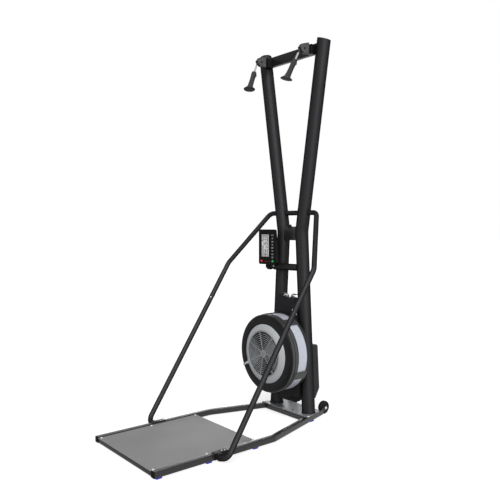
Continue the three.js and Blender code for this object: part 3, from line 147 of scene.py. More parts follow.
def pattern(material, kind, out="Fac", settings=None, **inputs):
    """A texture on the piece's own coordinates, which are in metres: a scale of 500 is 2 mm."""
    tree = material.node_tree
    where = add(tree, "ShaderNodeTexCoord").outputs["Object"]
    return add(tree, f"ShaderNodeTex{kind}", {"Vector": where, **inputs}, **(settings or {})).outputs[out]


def vary(material, source, tones=(), stops=(0, 1), dull=None, dent=None, **inputs):
    """A texture or a socket drives the colour between two tones, the roughness, or the relief (strength, metres)."""
    tree = material.node_tree
    if isinstance(source, str):
        source = pattern(material, source, **inputs)
    driven = {}
    if tones:
        driven["Base Color"] = add(tree, "ShaderNodeValToRGB", {"Fac": source})
        for element, stop, tone in zip(driven["Base Color"].color_ramp.elements, stops, tones):
            element.position, element.color = stop, linear(tone)
    if dull:
        driven["Roughness"] = add(tree, "ShaderNodeMapRange", {"Value": source, "To Min": dull[0], "To Max": dull[1]})
    if dent:
        driven["Normal"] = add(tree, "ShaderNodeBump", {"Height": source, "Strength": dent[0], "Distance": dent[1]})
    for key, node in driven.items():
        tree.links.new(node.outputs[0], tree.nodes["Principled BSDF"].inputs[key])


def reworked(source, name, tones=(), dull=(), **sockets):
    """A copy of a finish with other tones, another range of roughness, or other numbers on its sockets"""
    made = source.copy()
    made.name = name
    nodes = made.node_tree.nodes
    for key, value in sockets.items():
        nodes["Principled BSDF"].inputs[key.replace("_", " ")].default_value = value
    for i, tone in enumerate(tones):
        nodes["Color Ramp"].color_ramp.elements[i].color = linear(tone)
    for key, value in zip(("To Min", "To Max"), dull):
        nodes["Map Range"].inputs[key].default_value = value
    return made


# Powder coat: dull, over metal flake whose black edge tint is painted shade that keeps the edges of the tubes dark.
# It has the ripple of orange peel, about 2 mm across, and a speckle of 0.3 mm, drawn twice as coarse so that it
# shows.
charcoal_coat = finish("charcoal_powder_coat", "#2c2c2d", 0.52, 0.8, Specular_IOR_Level=0.05,
                       Specular_Tint=(0, 0, 0, 1))
vary(charcoal_coat, "Noise", ("#282829", "#323234"), (0.3, 0.75), Scale=1500.0, Detail=1.0)
vary(charcoal_coat, "Noise", dull=(0.48, 0.56), Scale=6.0, Detail=2.0)
vary(charcoal_coat, "Noise", dent=(0.25, 0.0006), Scale=420.0, Detail=3.0, Roughness=0.6)
# The rails have a smoother coat without flake, which shines at a low angle, and the flat cross
# tubes and the top beam a duller one. Ripple and speckle are the same.
smooth_coat = reworked(charcoal_coat, "charcoal_smooth_coat", ("#0e0e0f", "#151516"), (0.3, 0.38), Metallic=0.0,
                       Specular_IOR_Level=0.45, Specular_Tint=(1, 1, 1, 1))
matt_coat = reworked(smooth_coat, "charcoal_matt_coat", ("#18181a", "#212123"), Specular_IOR_Level=0.11)


def new_tree(name, start, result, **inputs):
    """A geometry tree with an input for the geometry it starts from, the named ones and a material"""
    tree = bpy.data.node_groups.new(name, "GeometryNodeTree")
    for kind, keys in {"Geometry": (start,), **inputs, "Material": ("Material",)}.items():
        for key in keys:
            tree.interface.new_socket(key, in_out="INPUT", socket_type=f"NodeSocket{kind}")
    tree.interface.new_socket(result, in_out="OUTPUT", socket_type="NodeSocketGeometry")
    return tree, add(tree, "NodeGroupInput").outputs


def ended(tree, result, geometry, given):
    real = add(tree, "GeometryNodeRealizeInstances", {"Geometry": geometry})
    coated = add(tree, "GeometryNodeSetMaterial", {"Geometry": real, "Material": given["Material"]})
    add(tree, "NodeGroupOutput", {result: coated})
    return tree


def bent_tube_tree(name, square):
    """A polyline whose points hold their bend radius becomes a tube. A square one keeps its sides upright."""
    sizes = ("Width", "Height", "Corner") if square else ("Radius",)
    tree, given = new_tree(name, "Path", "Tube", Float=sizes, Int=("Sides",))
    bend = add(tree, "GeometryNodeInputNamedAttribute", {"Name": "bend"}, data_type="FLOAT")
    line = add(tree, "GeometryNodeMeshToCurve", {"Mesh": given["Path"]})
    run = add(tree, "GeometryNodeFilletCurve",
              {"Curve": line, "Radius": bend.outputs["Attribute"], "Count": 14}, mode="POLY")
    if square:
        run = add(tree, "GeometryNodeSetCurveNormal", {"Curve": run}, mode="Z_UP")
        edge = add(tree, "GeometryNodeCurvePrimitiveQuadrilateral",
                   {"Width": given["Width"], "Height": given["Height"]})
        edge = add(tree, "GeometryNodeFilletCurve",
                   {"Curve": edge, "Radius": given["Corner"], "Count": given["Sides"]}, mode="POLY")
    else:
        edge = add(tree, "GeometryNodeCurvePrimitiveCircle",
                   {"Radius": given["Radius"], "Resolution": given["Sides"]})
    tube = add(tree, "GeometryNodeCurveToMesh", {"Curve": run, "Profile Curve": edge, "Fill Caps": True})
    return ended(tree, "Tube", tube, given)


round_tube = bent_tube_tree("bent_round_tube", square=False)
square_tube = bent_tube_tree("bent_square_tube", square=True)


def settled(piece):
    """Doubles are merged, faces point outwards, and only edges past 38 degrees stay crisp."""
    form = bmesh.new()
    form.from_mesh(piece.data)
    bmesh.ops.remove_doubles(form, verts=form.verts, dist=1e-6)
    bmesh.ops.recalc_face_normals(form, faces=form.faces)
    form.to_mesh(piece.data)
    form.free()
    piece.data.shade_smooth()
    piece.data.set_sharp_from_angle(angle=math.radians(38))
    return piece


def new_piece(name, mesh):
    made = bpy.data.objects.new(name, mesh)
    bpy.context.scene.collection.objects.link(made)
    return made


def grown(piece, tree, **inputs):
    """The piece's own geometry goes through the tree, and what comes out becomes its plain mesh."""
    modifier = piece.modifiers.new("grow", "NODES")
    modifier.node_group = tree
    for item in tree.interface.items_tree:
        if item.in_out == "INPUT" and item.name in inputs:
            modifier[item.identifier] = inputs[item.name]
    shaped = piece.evaluated_get(bpy.context.evaluated_depsgraph_get())
    mesh = bpy.data.meshes.new_from_object(shaped)
    piece.modifiers.remove(modifier)
    piece.data = mesh
    return settled(piece)


def fitted(piece, body, slot, *nodes):
    """The piece goes with its body and stands for the nodes. The slot is not used."""
    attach(piece, body)
    if nodes:
        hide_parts(*nodes)
    return piece


def polyline(name, points, bends=()):
    mesh = bpy.data.meshes.new(name)
    mesh.from_pydata([spot(*p) for p in points], [(i, i + 1) for i in range(len(points) - 1)], [])
    bend = mesh.attributes.new("bend", "FLOAT", "POINT")
    bend.data.foreach_set("value", [r / 1000 for r in (0, *bends, 0)])
    return new_piece(name, mesh)


def tube(name, points, bends, radius, body, slot, *nodes, material=charcoal_coat, sides=48):
    made = grown(polyline(name, points, bends), round_tube, Radius=radius / 1000, Sides=sides, Material=material)
    return fitted(made, body, slot, *nodes)


def bar(name, points, bends, width, height, *nodes, material=smooth_coat):
    made = grown(polyline(name, points, bends), square_tube, Width=width / 1000, Height=height / 1000,
                 Corner=0.0035, Sides=5, Material=material)
    return fitted(made, "frame", "charcoal_paint", *nodes)


def solid(name, form, material):
    mesh = bpy.data.meshes.new(name)
    form.to_mesh(mesh)
    form.free()
    mesh.materials.append(material)
    return settled(new_piece(name, mesh))


def thicken(form, outline, low, high, place):
    """An outline of (a, b) pairs goes from depth low to high. place turns (a, b, depth) to a spot."""
    rows = [[form.verts.new(place(a, b, d)) for a, b in outline] for d in (low, high)]
    form.faces.new(rows[0])
    form.faces.new(rows[1])
    for i in range(len(outline)):
        j = (i + 1) % len(outline)
        form.faces.new((rows[0][i], rows[0][j], rows[1][j], rows[1][i]))


def softened(piece, bevel, parts=3):
    rounding = piece.modifiers.new("rounding", "BEVEL")
    rounding.width, rounding.segments, rounding.harden_normals = bevel / 1000, parts, True
    rounding.limit_method, rounding.angle_limit = "ANGLE", math.radians(28)


def prism(name, outline, low, high, place, material, body, slot, *nodes, bevel=0, parts=3):
    form = bmesh.new()
    thicken(form, outline, low, high, place)
    made = solid(name, form, material)
    if bevel:
        softened(made, bevel, parts)
    return fitted(made, body, slot, *nodes)


def arc(a, b, radius, start, stop, count=8):
    turns = [math.radians(start + (stop - start) * i / count) for i in range(count + 1)]
    return [(a + radius * math.cos(t), b + radius * math.sin(t)) for t in turns]


# The body and the finish's slot of every coated tube and plate
coated = ("frame", "charcoal_paint")
sides = (("right", 1), ("left", -1))
rail_half, rail_mid, bend_y, tail_half, tail_end = 282, 23, 711, 131, 1220
tab_x = tail_half + 9.35
for side, k in sides:
    line = [(k * rail_half, 2.8, rail_mid), (k * rail_half, bend_y, rail_mid), (k * tail_half, tail_end, rail_mid)]
    bar(f"rail_tube_{side}", line, [60], 30, 30, f"floor_rail_{side}")
    outline = [(1190, 10), (1220, 10), *arc(1247, 44, 13, -90, 90), (1207, 36), (1190, 36)]
    prism(f"tail_tab_{side}", outline, tab_x, tab_x + 5, lambda a, b, d: spot(k * d, a, b), smooth_coat,
          *coated, bevel=1)

# Foot pads: eight bright blue thermoplastic blocks pushed onto the underside of the rails. They
# are the only coloured part of the base, soft enough to grip a gym floor.
# Thermoplastic rubber: an even, dull blue with the 1 mm grain of its mould
blue_pad = finish("blue_thermoplastic_pad", "#211bb4", 0.55)
vary(blue_pad, "Noise", dull=(0.48, 0.68), dent=(0.2, 0.0004), Scale=900.0, Detail=2.0)


def rail_x(y):
    return rail_half if y < bend_y else rail_half - (rail_half - tail_half) * (y - bend_y) / (tail_end - bend_y)


def corners(a, b, width, height):
    return [(a + i * width / 2, b + j * height / 2) for i, j in ((-1, -1), (1, -1), (1, 1), (-1, 1))]


for side, k in sides:
    for n, y in enumerate((28, 300, 586, 1100), 1):
        prism(f"foot_pad_{side}_{n}", corners(k * rail_x(y), y, 24, 30), 0, 9.5, spot, blue_pad, "frame", "rubber",
              bevel=2)

# Rail caps: black moulded plugs tapped into the open front ends of the rails, their faces slightly
# domed, with the fine spark grain of an ABS moulding.


def moulded(name, colour, roughness, specular, tones, dull=None):
    """ABS: clouds some 110 mm wide from its flow, and a spark grain of 0.4 mm, drawn at 0.8 mm to show"""
    made = finish(name, colour, roughness, Specular_IOR_Level=specular)
    vary(made, "Noise", tones, (0.3, 0.8), dull, Scale=9.0, Detail=3.0)
    vary(made, "Noise", dent=(0.18, 0.0003), Scale=1300.0, Detail=2.0)
    return made


def rounded(width, height, corner, x=0.0, z=0.0, count=5):
    w, h = width / 2 - corner, height / 2 - corner
    centres = ((w, h, 0), (-w, h, 90), (-w, -h, 180), (w, -h, 270))
    return [p for a, b, turn in centres for p in arc(x + a, z + b, corner, turn, turn + 90, count)]


def upended(a, b, d):
    """For an outline that the user sees: across, up, and its depth"""
    return spot(a, d, b)


# Black mouldings catch a soft, cloudy light. The plugs are deeper black and catch almost none.
black_abs = moulded("black_abs_moulding", "#111112", 0.42, 0.1, ("#0f0f10", "#18181a"), (0.36, 0.5))
plastic = ("frame", "black_plastic")
plug_abs = reworked(black_abs, "deep_black_abs_plug", ("#040404", "#070707"), Specular_IOR_Level=0.02)
for side, k in sides:
    prism(f"rail_end_{side}", rounded(30, 30, 2.5, k * rail_half, rail_mid), 0.1, 3, upended, plug_abs,
          *plastic, f"rail_cap_{side}", bevel=0.5)

# Cross tubes: flat steel tubes under the platform and a square one under the tower, cut to fit
# between the rails and welded to them.
for name, y in (("front", 18), ("middle", 301), ("rear", 588)):
    bar(f"cross_member_{name}", [(-268, y, 18.9), (268, y, 18.9)], [], 29.8, 21.6, f"cross_tube_{name}",
        material=matt_coat)
reach = rail_x(1060) - 12
bar("cross_member_tower", [(-reach, 1060, rail_mid), (reach, 1060, rail_mid)], [], 29.8, 29.8, "cross_tube_tower")

# Platform: a 4 mm steel plate let in between the rails and screwed down, with a coarse grey
# anti-slip coat.
# Grit in paint: pale, dull and rough to the eye. Its 1 mm grains are drawn 2 mm apart so that they
# show, and its tone drifts over some 400 mm.
grey_grit = finish("grey_anti_slip_coat", "#8b8c8e", 0.62)
grains = pattern(grey_grit, "Voronoi", "Distance", Scale=520.0)
drift = pattern(grey_grit, "Noise", Scale=2.3, Detail=2.0)
shade = add(grey_grit.node_tree, "ShaderNodeMath", {0: grains, 1: drift}, operation="MULTIPLY")
vary(grey_grit, shade, ("#6d6d6e", "#8c8c8d"), (0.05, 0.42))
vary(grey_grit, grains, dent=(0.3, 0.0006))
prism("platform_sheet", corners(0, 303, 533.2, 600), 30, 34, spot, grey_grit, "frame", "platform_grey",
      "platform_plate", bevel=0.8, parts=2)

# Tower base plate: light zinc-plated steel laid over the rails, under the feet of the uprights.
# Its rear corners are cut off.
# Zinc plate: a soft metallic grey with spangles 11 mm wide, each of its own tone and polish
zinc_plate = finish("zinc_plated_sheet", "#8f9193", 0.42, 0.4)
vary(zinc_plate, "Voronoi", ("#7f8183", "#949698"), dull=(0.36, 0.5), out="Color", Scale=90.0)


def rail_outer(y):
    return rail_x(y) + 15 * math.hypot(1, (rail_half - tail_half) / (tail_end - bend_y))


right_edge = [(rail_outer(1045), 1045), (rail_outer(1178), 1178), (rail_outer(1190) - 12, 1190)]
prism("tower_sheet", right_edge + [(-x, y) for x, y in reversed(right_edge)], 38.3, 42.2, spot, zinc_plate,
      "frame", "bare_steel", "tower_base_plate", bevel=0.8, parts=2)

# Screws: bright stainless button heads with a hexagon socket. One head is turned once and set on
# every screw place, its axis along the way it faces.
# Stainless steel: a bright metal whose turning lines, 0.1 mm apart, are drawn at 0.5 mm to show
stainless = finish("stainless_screw_steel", "#c9ccd0", 0.28, 1.0)
vary(stainless, "Noise", dull=(0.2, 0.38), Scale=2200.0, Detail=1.0)


def turned(name, profile, origin, axis, material, body=None, *labels, sides=64):
    """A profile of (radius, height) pairs in millimetres, turned about the axis through the origin"""
    w = Vector(axis).normalized()
    u = w.orthogonal().normalized()
    v = w.cross(u)
    turns = [2 * math.pi * i / sides for i in range(sides)]
    form = bmesh.new()
    rings = []
    for r, h in profile:
        places = [origin + (u * math.cos(t) + v * math.sin(t)) * (r / 1000) + w * (h / 1000) for t in turns]
        rings.append([form.verts.new(p) for p in places] if r else [form.verts.new(places[0])] * sides)
    pairs = list(zip(rings, rings[1:]))
    if profile[0][0] and profile[-1][0]:
        pairs.append((rings[-1], rings[0]))
    for low, high in pairs:
        for i in range(sides):
            j = (i + 1) % sides
            face = list(dict.fromkeys((low[i], low[j], high[j], high[i])))
            if len(face) > 2:
                form.faces.new(face)
    made = solid(name, form, material)
    return fitted(made, body, *labels) if body else made


def screw_tree():
    """The screw head is set on each place and turned to its aim."""
    tree, given = new_tree("screws_on_places", "Places", "Screws", Object=("Head",), Float=("Size",))
    aim = add(tree, "GeometryNodeInputNamedAttribute", {"Name": "aim"}, data_type="FLOAT_VECTOR")
    turn = add(tree, "FunctionNodeAlignRotationToVector", {"Vector": aim.outputs["Attribute"]}, axis="Z")
    points = add(tree, "GeometryNodeMeshToPoints", {"Mesh": given["Places"]})
    head = add(tree, "GeometryNodeObjectInfo", {"Object": given["Head"]})
    size = add(tree, "ShaderNodeCombineXYZ", {i: given["Size"] for i in range(3)})
    set_on = add(tree, "GeometryNodeInstanceOnPoints",
                 {"Points": points, "Instance": head.outputs["Geometry"], "Rotation": turn, "Scale": size})
    return ended(tree, "Screws", set_on, given)


set_screws = screw_tree()
up = (0, 0, 1)
profile = [(0, 0.3), (1.6, 0.3), (1.9, 2.4), (2.6, 2.7), (4.2, 2.2), (5.3, 1.1), (5.5, 0.2), (5.5, -1.5), (0, -1.5)]
screw_head = turned("screw_pattern", profile, Vector((0, 0, 0)), up, stainless, sides=24)


def screws(name, places, size, slot="silver", material=stainless):
    mesh = bpy.data.meshes.new(name)
    mesh.from_pydata([p for p, _ in places], [], [])
    aim = mesh.attributes.new("aim", "FLOAT_VECTOR", "POINT")
    aim.data.foreach_set("vector", [c for _, way in places for c in Vector(way).normalized()])
    fitted(grown(new_piece(name, mesh), set_screws, Head=screw_head, Size=size, Material=material), "frame", slot)


screws("platform_screws", [(spot(k * 258, y, 33.9), up) for k in (1, -1) for y in (17, 309, 594)], 1.2)
screws("tower_plate_screws", [(spot(k * 186, 1062, 42.1), up) for k in (1, -1)], 1.1)
screws("tower_plate_bolts", [(spot(x, y, 42.1), up) for x, y in ((-86, 1163), (43, 1077), (86, 1163), (-43, 1077))],
       0.9, "black_plastic", black_abs)

# Transport wheels: solid black polyurethane discs on a bolt through each tail tab, so that the
# machine rolls when its front is lifted.
# Polyurethane: dull and almost black, with gym dust in flecks some 6 mm wide
wheel_rubber = finish("black_polyurethane", "#0e0e0f", 0.6, Specular_IOR_Level=0.15)
vary(wheel_rubber, "Noise", ("#0b0b0c", "#151516"), (0.35, 0.8), dent=(0.15, 0.0005), Scale=160.0, Detail=4.0)
half = [(5.3, -11), (15, -11), (16, -10), (17.5, -8), (29, -7.5), (31, -10.2), (33, -11), (36, -10.4),
        (37.4, -8.4), (38, -5)]
bolt = [(0, -16.9), (4.6, -16.9), (5, -16.4), (5, -16), (8, -16), (8, -11.4), (5, -11.4), (5, 18.6), (8, 18.6),
        (8, 20.6), (6.6, 22), (3, 22.3), (2.6, 20), (0, 20)]
for side, k in sides:
    hub = spot(k * (tab_x - 13), 1247, 44)
    turned(f"wheel_disc_{side}", half + [(r, -h) for r, h in reversed(half)], hub, (1, 0, 0), wheel_rubber,
           f"wheel_{side}", "rubber", f"transport_wheel_{side}", sides=72)
    turned(f"wheel_bolt_{side}", bolt, hub, (k, 0, 0), stainless, "frame", "silver", f"wheel_axle_{side}", sides=36)

# Uprights: 76 mm round steel tubes that lean in to the kink and out again to the top. They carry
# everything and are welded to the base plate. Their tops are cut off on a slope and closed with
# plugs that are coated like the tube.
tower_y, upright_r = 1112, 38
foot_x, foot_z, kink_x, kink_z, top_x, top_z = 137, 42.3, 76, 1083, 244, 2138.5


def upright_x(z):
    if z < kink_z:
        return foot_x + (kink_x - foot_x) * (z - foot_z) / (kink_z - foot_z)
    return kink_x + (top_x - kink_x) * (z - kink_z) / (top_z - kink_z)


def sliced(piece, point, way):
    """What lies past the plane is cut away, and the cut is closed."""
    form = bmesh.new()
    form.from_mesh(piece.data)
    everything = form.verts[:] + form.edges[:] + form.faces[:]
    cut = bmesh.ops.bisect_plane(form, geom=everything, plane_co=point, plane_no=way, clear_outer=True)
    rim = [e for e in cut["geom_cut"] if isinstance(e, bmesh.types.BMEdge)]
    bmesh.ops.holes_fill(form, edges=rim, sides=0)
    form.to_mesh(piece.data)
    form.free()
    return settled(piece)


for side, k in sides:
    top = spot(k * 243.6, tower_y, 2138)
    top_way = Vector((0.29 * k, 0.06, 1)).normalized()
    foot, kink, low, high = ((k * x, tower_y, z) for x, z in (
        (foot_x, 42.4), (kink_x, kink_z), (upright_x(2100), 2100), (upright_x(2180), 2180)))
    post = tube(f"upright_tube_{side}", [foot, kink, high], [160], upright_r, *coated,
                f"upright_{side}", sides=72)
    sliced(post, top, top_way)
    plug = tube(f"upright_plug_{side}", [low, high], [], upright_r, *plastic,
                f"upright_cap_{side}", sides=72)
    sliced(sliced(plug, top + top_way * 0.004, top_way), top + top_way * 0.0003, -top_way)
    softened(plug, 1.2)
    turned(f"upright_weld_{side}", [(37, 0), (41.5, 0), (41, 1.6), (39.4, 3.2), (38, 4.4), (37, 4.6)],
           spot(k * foot_x, tower_y, 42.2), up, charcoal_coat, *coated, sides=72)

# Top beam: a rectangular tube welded between the uprights. The cords run through it to the heads.
# It has the duller coat of the cross tubes.
bar("beam_tube", [(-212, tower_y, 2099.5), (212, tower_y, 2099.5)], [], 29.8, 56, "top_beam", material=matt_coat)

# Kink bracket: a 5 mm plate welded across the uprights where they come closest, with a round boss
# on top. Both are coated with the tubes.
prism("kink_plate", corners(0, 1073, 112, 80), 1087.5, 1092.5, upended, smooth_coat, *coated,
      "kink_bracket", bevel=1.2)
turned("kink_boss", [(0, -5.9), (10.8, -5.9), (11.9, -4.8), (11.9, 4.8), (10.8, 5.9), (5, 5.9), (4.4, 5), (0, 5)],
       spot(0, 1090, 1113), (0, -1, 0), charcoal_coat, *coated, sides=48)

# Handrail: one 29 mm tube bent in a U through both uprights, and a leg on each side that is pushed
# over its spigot, fixed with two bright screws, and bent in to a clamp on the floor rail.
hand_r, clamp_y = 14.3, 349
join, foot = Vector((364, 797, 707)), Vector((364, clamp_y, rail_mid))
run = (foot - join).normalized()
half_rail = [(194, tower_y, 1192), (366, 918, 891), tuple(join)]
tube("handrail_tube", [(-x, y, z) for x, y, z in reversed(half_rail)] + half_rail, [60, 45, 45, 60], hand_r,
     *coated, "handrail_top")
for side, k in sides:
    line = [(k * x, y, z) for x, y, z in (join + run * 0.3, foot, (301.2, clamp_y, rail_mid))]
    tube(f"handrail_leg_tube_{side}", line, [41], hand_r, *coated, f"handrail_leg_{side}")
    turned(f"handrail_sleeve_{side}", [(13.8, -4), (14.7, -4), (15.2, -3.4), (15.2, 3.4), (14.7, 4), (13.8, 4)],
           spot(k * join.x, *(join + run * 5)[1:]), run, charcoal_coat, *coated, sides=48)
    across = Vector((0.635 * k, 0.772, 0))
    across = (across - run * across.dot(run)).normalized()
    places = []
    for along, way in ((26, -1), (38, 1)):
        out = across * way * 13.6
        middle = join + run * along + out
        places.append((spot(k * join.x + out.x, middle.y, middle.z), across * way))
    screws(f"handrail_screws_{side}", places, 0.75)

# Foot clamps: pressed steel saddles that hook over the floor rail, with a collar for the leg's end
# and two screws on top.
saddle = [(297.3, 10), (300.8, 10), (300.8, 41.8), (271.3, 41.8), (271.3, 38.3), (297.3, 38.3)]
collar = [(14.6, 0), (17.5, 0), (18.8, 1.4), (18.8, 16), (18, 17.6), (16.8, 18), (14.6, 18)]
for side, k in sides:
    prism(f"clamp_saddle_{side}", saddle, 325, 407, lambda a, b, d: spot(k * a, d, b), black_abs,
          *plastic, f"handrail_clamp_{side}", bevel=0.9)
    turned(f"clamp_collar_{side}", collar, spot(k * 300.7, clamp_y, rail_mid), (k, 0, 0), black_abs,
           *plastic, sides=56)
    screws(f"clamp_screws_{side}", [(spot(k * 284, y, 41.7), up) for y in (379, 396)], 0.75)

# Fan carrier and bearing bridge: folded and flat steel sheet welded to the fronts of the uprights.
# They keep their solids and take the same powder coat.


def dressed(node, material):
    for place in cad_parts[node].material_slots:
        place.material = material


dressed("fan_carrier", charcoal_coat)
dressed("bearing_bridge", charcoal_coat)

# Rear cover: a vacuum-formed ABS shell, screwed to the backs of the uprights, its lower edge
# sloped. It widens towards the floor as the uprights do.
# Formed ABS is greyer and duller than the black mouldings, with the same clouds and grain.
charcoal_abs = moulded("charcoal_abs_moulding", "#232325", 0.5, 0.16, ("#1e1e20", "#2a2a2c"))
back, front, low, high = 1201.6, 1150.8, 115, 425
profile = [(front, low), (back - 36, low), (back, low + 55), (back, high - 8), (back - 8, high), (front, high)]
prism("rear_shell", profile, 1, -1, lambda y, z, k: spot(k * (upright_x(z) + 9), y, z), charcoal_abs,
      *plastic, "rear_cover", bevel=5, parts=4)

# Foot guard: a flat black panel clipped in between the uprights, below the carrier, which keeps
# shoes and straps away from the bungee. A lip of the same plastic lengthens the carrier's tab.
outline = [(-93.5, 111), (-60, 88), (60, 88), (93.5, 111), (93.5, 140), (-93.5, 140)]
prism("foot_guard", outline, 1106, 1110, upended, black_abs, *plastic, bevel=1)
prism("carrier_lip", [(-52, 128), (-36, 100), (36, 100), (52, 128)], 1049.9, 1053, upended, black_abs,
      *plastic, bevel=0.8)

# Fan front ring: the black moulding that faces the user. Its broad flat face rolls over into the
# side wall, which steps in to take the silver band. A four-armed spider holds the front bearing.
fan_z, drum_y = 390, 898


def round_fan(name, profile, y, material, body, *labels, sides=160):
    """A turned piece on the fan's axis. Heights run towards the tower."""
    return turned(name, profile, spot(0, y, fan_z), (0, 1, 0), material, body, *labels, sides=sides)


def on_spoke(degrees):
    """Places for an outline that lies along a spoke of the fan at that angle"""
    c, s = math.cos(math.radians(degrees)), math.sin(math.radians(degrees))
    return lambda a, b, d: spot(a * c - b * s, d, fan_z + a * s + b * c)


profile = [(169, 2.4), (169.8, 0.7), (171.4, 0.1), (205, 0.1), (211, 0.7), (216, 2.3), (219.6, 5), (221.4, 8.2),
           (221.9, 12), (218, 12), (208, 3.6), (169, 3.6)]
round_fan("fan_bezel", profile, drum_y, black_abs, *plastic, "fan_front_ring")
# The side wall and the straps have a slight sheen that the front face lacks
sheen_abs = reworked(charcoal_abs, "charcoal_abs_with_sheen", Specular_IOR_Level=0.6)
profile = [(221.6, 12.2), (221.9, 12.8), (221.9, 24), (221.2, 25.6), (216.8, 27), (216.8, 32), (220.6, 33.4),
           (221, 34.4), (221, 47), (220.6, 48), (217, 49.2), (217, 52.6), (219.6, 53.8), (219.6, 56.4),
           (214.6, 56.4), (214.6, 27), (217.6, 24), (217.6, 12.2)]
round_fan("fan_wall", profile, drum_y, sheen_abs, *plastic)
for n in range(4):
    prism(f"fan_spider_arm_{n + 1}", rounded(176, 13, 3, 88, 0), 901, 907, on_spoke(45 + 90 * n), black_abs,
          *plastic, bevel=1)
round_fan("fan_spider_hub", [(0, -11), (21, -11), (21.9, -10), (21.9, 11), (21, 12), (0, 12)], drum_y, black_abs,
          *plastic, sides=64)

# Silver band: perforated aluminium wrapped round the drum, where the air leaves. The holes are
# 2.2 mm across on a 6 mm pitch. One cell with its hole is repeated and rolled into the hoop.
# Mill-finish aluminium: pale, with rolling streaks 1 mm wide and 25 mm long round the drum
band_metal = finish("perforated_aluminium", "#bec1cb", 0.36, 0.35)
alu = band_metal.node_tree
where = add(alu, "ShaderNodeTexCoord").outputs["Object"]
rolled = add(alu, "ShaderNodeMapping", {"Vector": where, "Scale": (40, 900, 40)})
streaks = add(alu, "ShaderNodeTexNoise", {"Vector": rolled, "Scale": 1.0, "Detail": 2.0})
vary(band_metal, streaks.outputs["Fac"], dull=(0.32, 0.5))
pitch, hole_r, sheet = 6.0, 1.1, 1.2


def hole_edge(t, depth):
    return Vector((hole_r * math.cos(t), hole_r * math.sin(t), depth)) / 1000


def cell_edge(t, depth):
    reach = pitch / 2 / max(abs(math.cos(t)), abs(math.sin(t)))
    return Vector((reach * math.cos(t), reach * math.sin(t), depth)) / 1000


form = bmesh.new()
for n in range(8):
    start, middle, stop = (math.pi * (n + share) / 4 for share in (-0.5, 0, 0.5))
    faces = [[cell_edge(start, d), cell_edge(middle, d), cell_edge(stop, d), hole_edge(stop, d), hole_edge(start, d)]
             for d in (0, -sheet)]
    faces.append([hole_edge(start, 0), hole_edge(stop, 0), hole_edge(stop, -sheet), hole_edge(start, -sheet)])
    for face in faces:
        form.faces.new([form.verts.new(p) for p in face])
band_cell = solid("band_cell", form, band_metal)


def hoop_tree():
    """A flat sheet of cells, its length rolled round the drum and its width pressed to the height"""
    tree, given = new_tree("perforated_hoop", "Seed", "Hoop", Object=("Cell",),
                           Float=("Pitch", "Radius", "Start", "Height", "Level"), Int=("Around", "Rows"))
    around = add(tree, "ShaderNodeMath", {0: given["Around"], 1: given["Pitch"]}, operation="MULTIPLY")
    tall = add(tree, "ShaderNodeMath", {0: given["Rows"], 1: given["Pitch"]}, operation="MULTIPLY")
    columns = add(tree, "ShaderNodeMath", {0: given["Around"], 1: 1.0}, operation="ADD")
    rows = add(tree, "ShaderNodeMath", {0: given["Rows"], 1: 1.0}, operation="ADD")
    grid = add(tree, "GeometryNodeMeshGrid",
               {"Size X": around, "Size Y": tall, "Vertices X": columns, "Vertices Y": rows})
    points = add(tree, "GeometryNodeMeshToPoints", {"Mesh": grid}, mode="FACES")
    cell = add(tree, "GeometryNodeObjectInfo", {"Object": given["Cell"]})
    cells = add(tree, "GeometryNodeInstanceOnPoints", {"Points": points, "Instance": cell.outputs["Geometry"]})
    cells = add(tree, "GeometryNodeRealizeInstances", {"Geometry": cells})
    flat = add(tree, "ShaderNodeSeparateXYZ", {0: add(tree, "GeometryNodeInputPosition")})
    share = add(tree, "ShaderNodeMath", {0: flat.outputs["X"], 1: around}, operation="DIVIDE")
    turn = add(tree, "ShaderNodeMath", {0: share, 1: 2 * math.pi}, operation="MULTIPLY")
    reach = add(tree, "ShaderNodeMath", {0: given["Radius"], 1: flat.outputs["Z"]}, operation="ADD")
    cosine = add(tree, "ShaderNodeMath", {0: turn}, operation="COSINE")
    sine = add(tree, "ShaderNodeMath", {0: turn}, operation="SINE")
    x = add(tree, "ShaderNodeMath", {0: reach, 1: cosine}, operation="MULTIPLY")
    z = add(tree, "ShaderNodeMath", {0: reach, 1: sine, 2: given["Level"]}, operation="MULTIPLY_ADD")
    squeeze = add(tree, "ShaderNodeMath", {0: given["Height"], 1: tall}, operation="DIVIDE")
    y = add(tree, "ShaderNodeMath", {0: flat.outputs["Y"], 1: squeeze, 2: given["Start"]}, operation="MULTIPLY_ADD")
    bent = add(tree, "ShaderNodeCombineXYZ", {"X": x, "Y": y, "Z": z})
    hoop = add(tree, "GeometryNodeSetPosition", {"Geometry": cells, "Position": bent})
    return ended(tree, "Hoop", hoop, given)


seed = polyline("fan_hoop", [(0, 986, fan_z), (0, 987, fan_z)])
band = grown(seed, hoop_tree(), Cell=band_cell, Pitch=pitch / 1000, Radius=0.2184, Start=(986.4 - half_depth) / 1000,
             Height=0.0624, Level=fan_z / 1000, Around=228, Rows=10, Material=band_metal)
fitted(band, "frame", "silver", "fan_band")
bpy.data.objects.remove(band_cell)

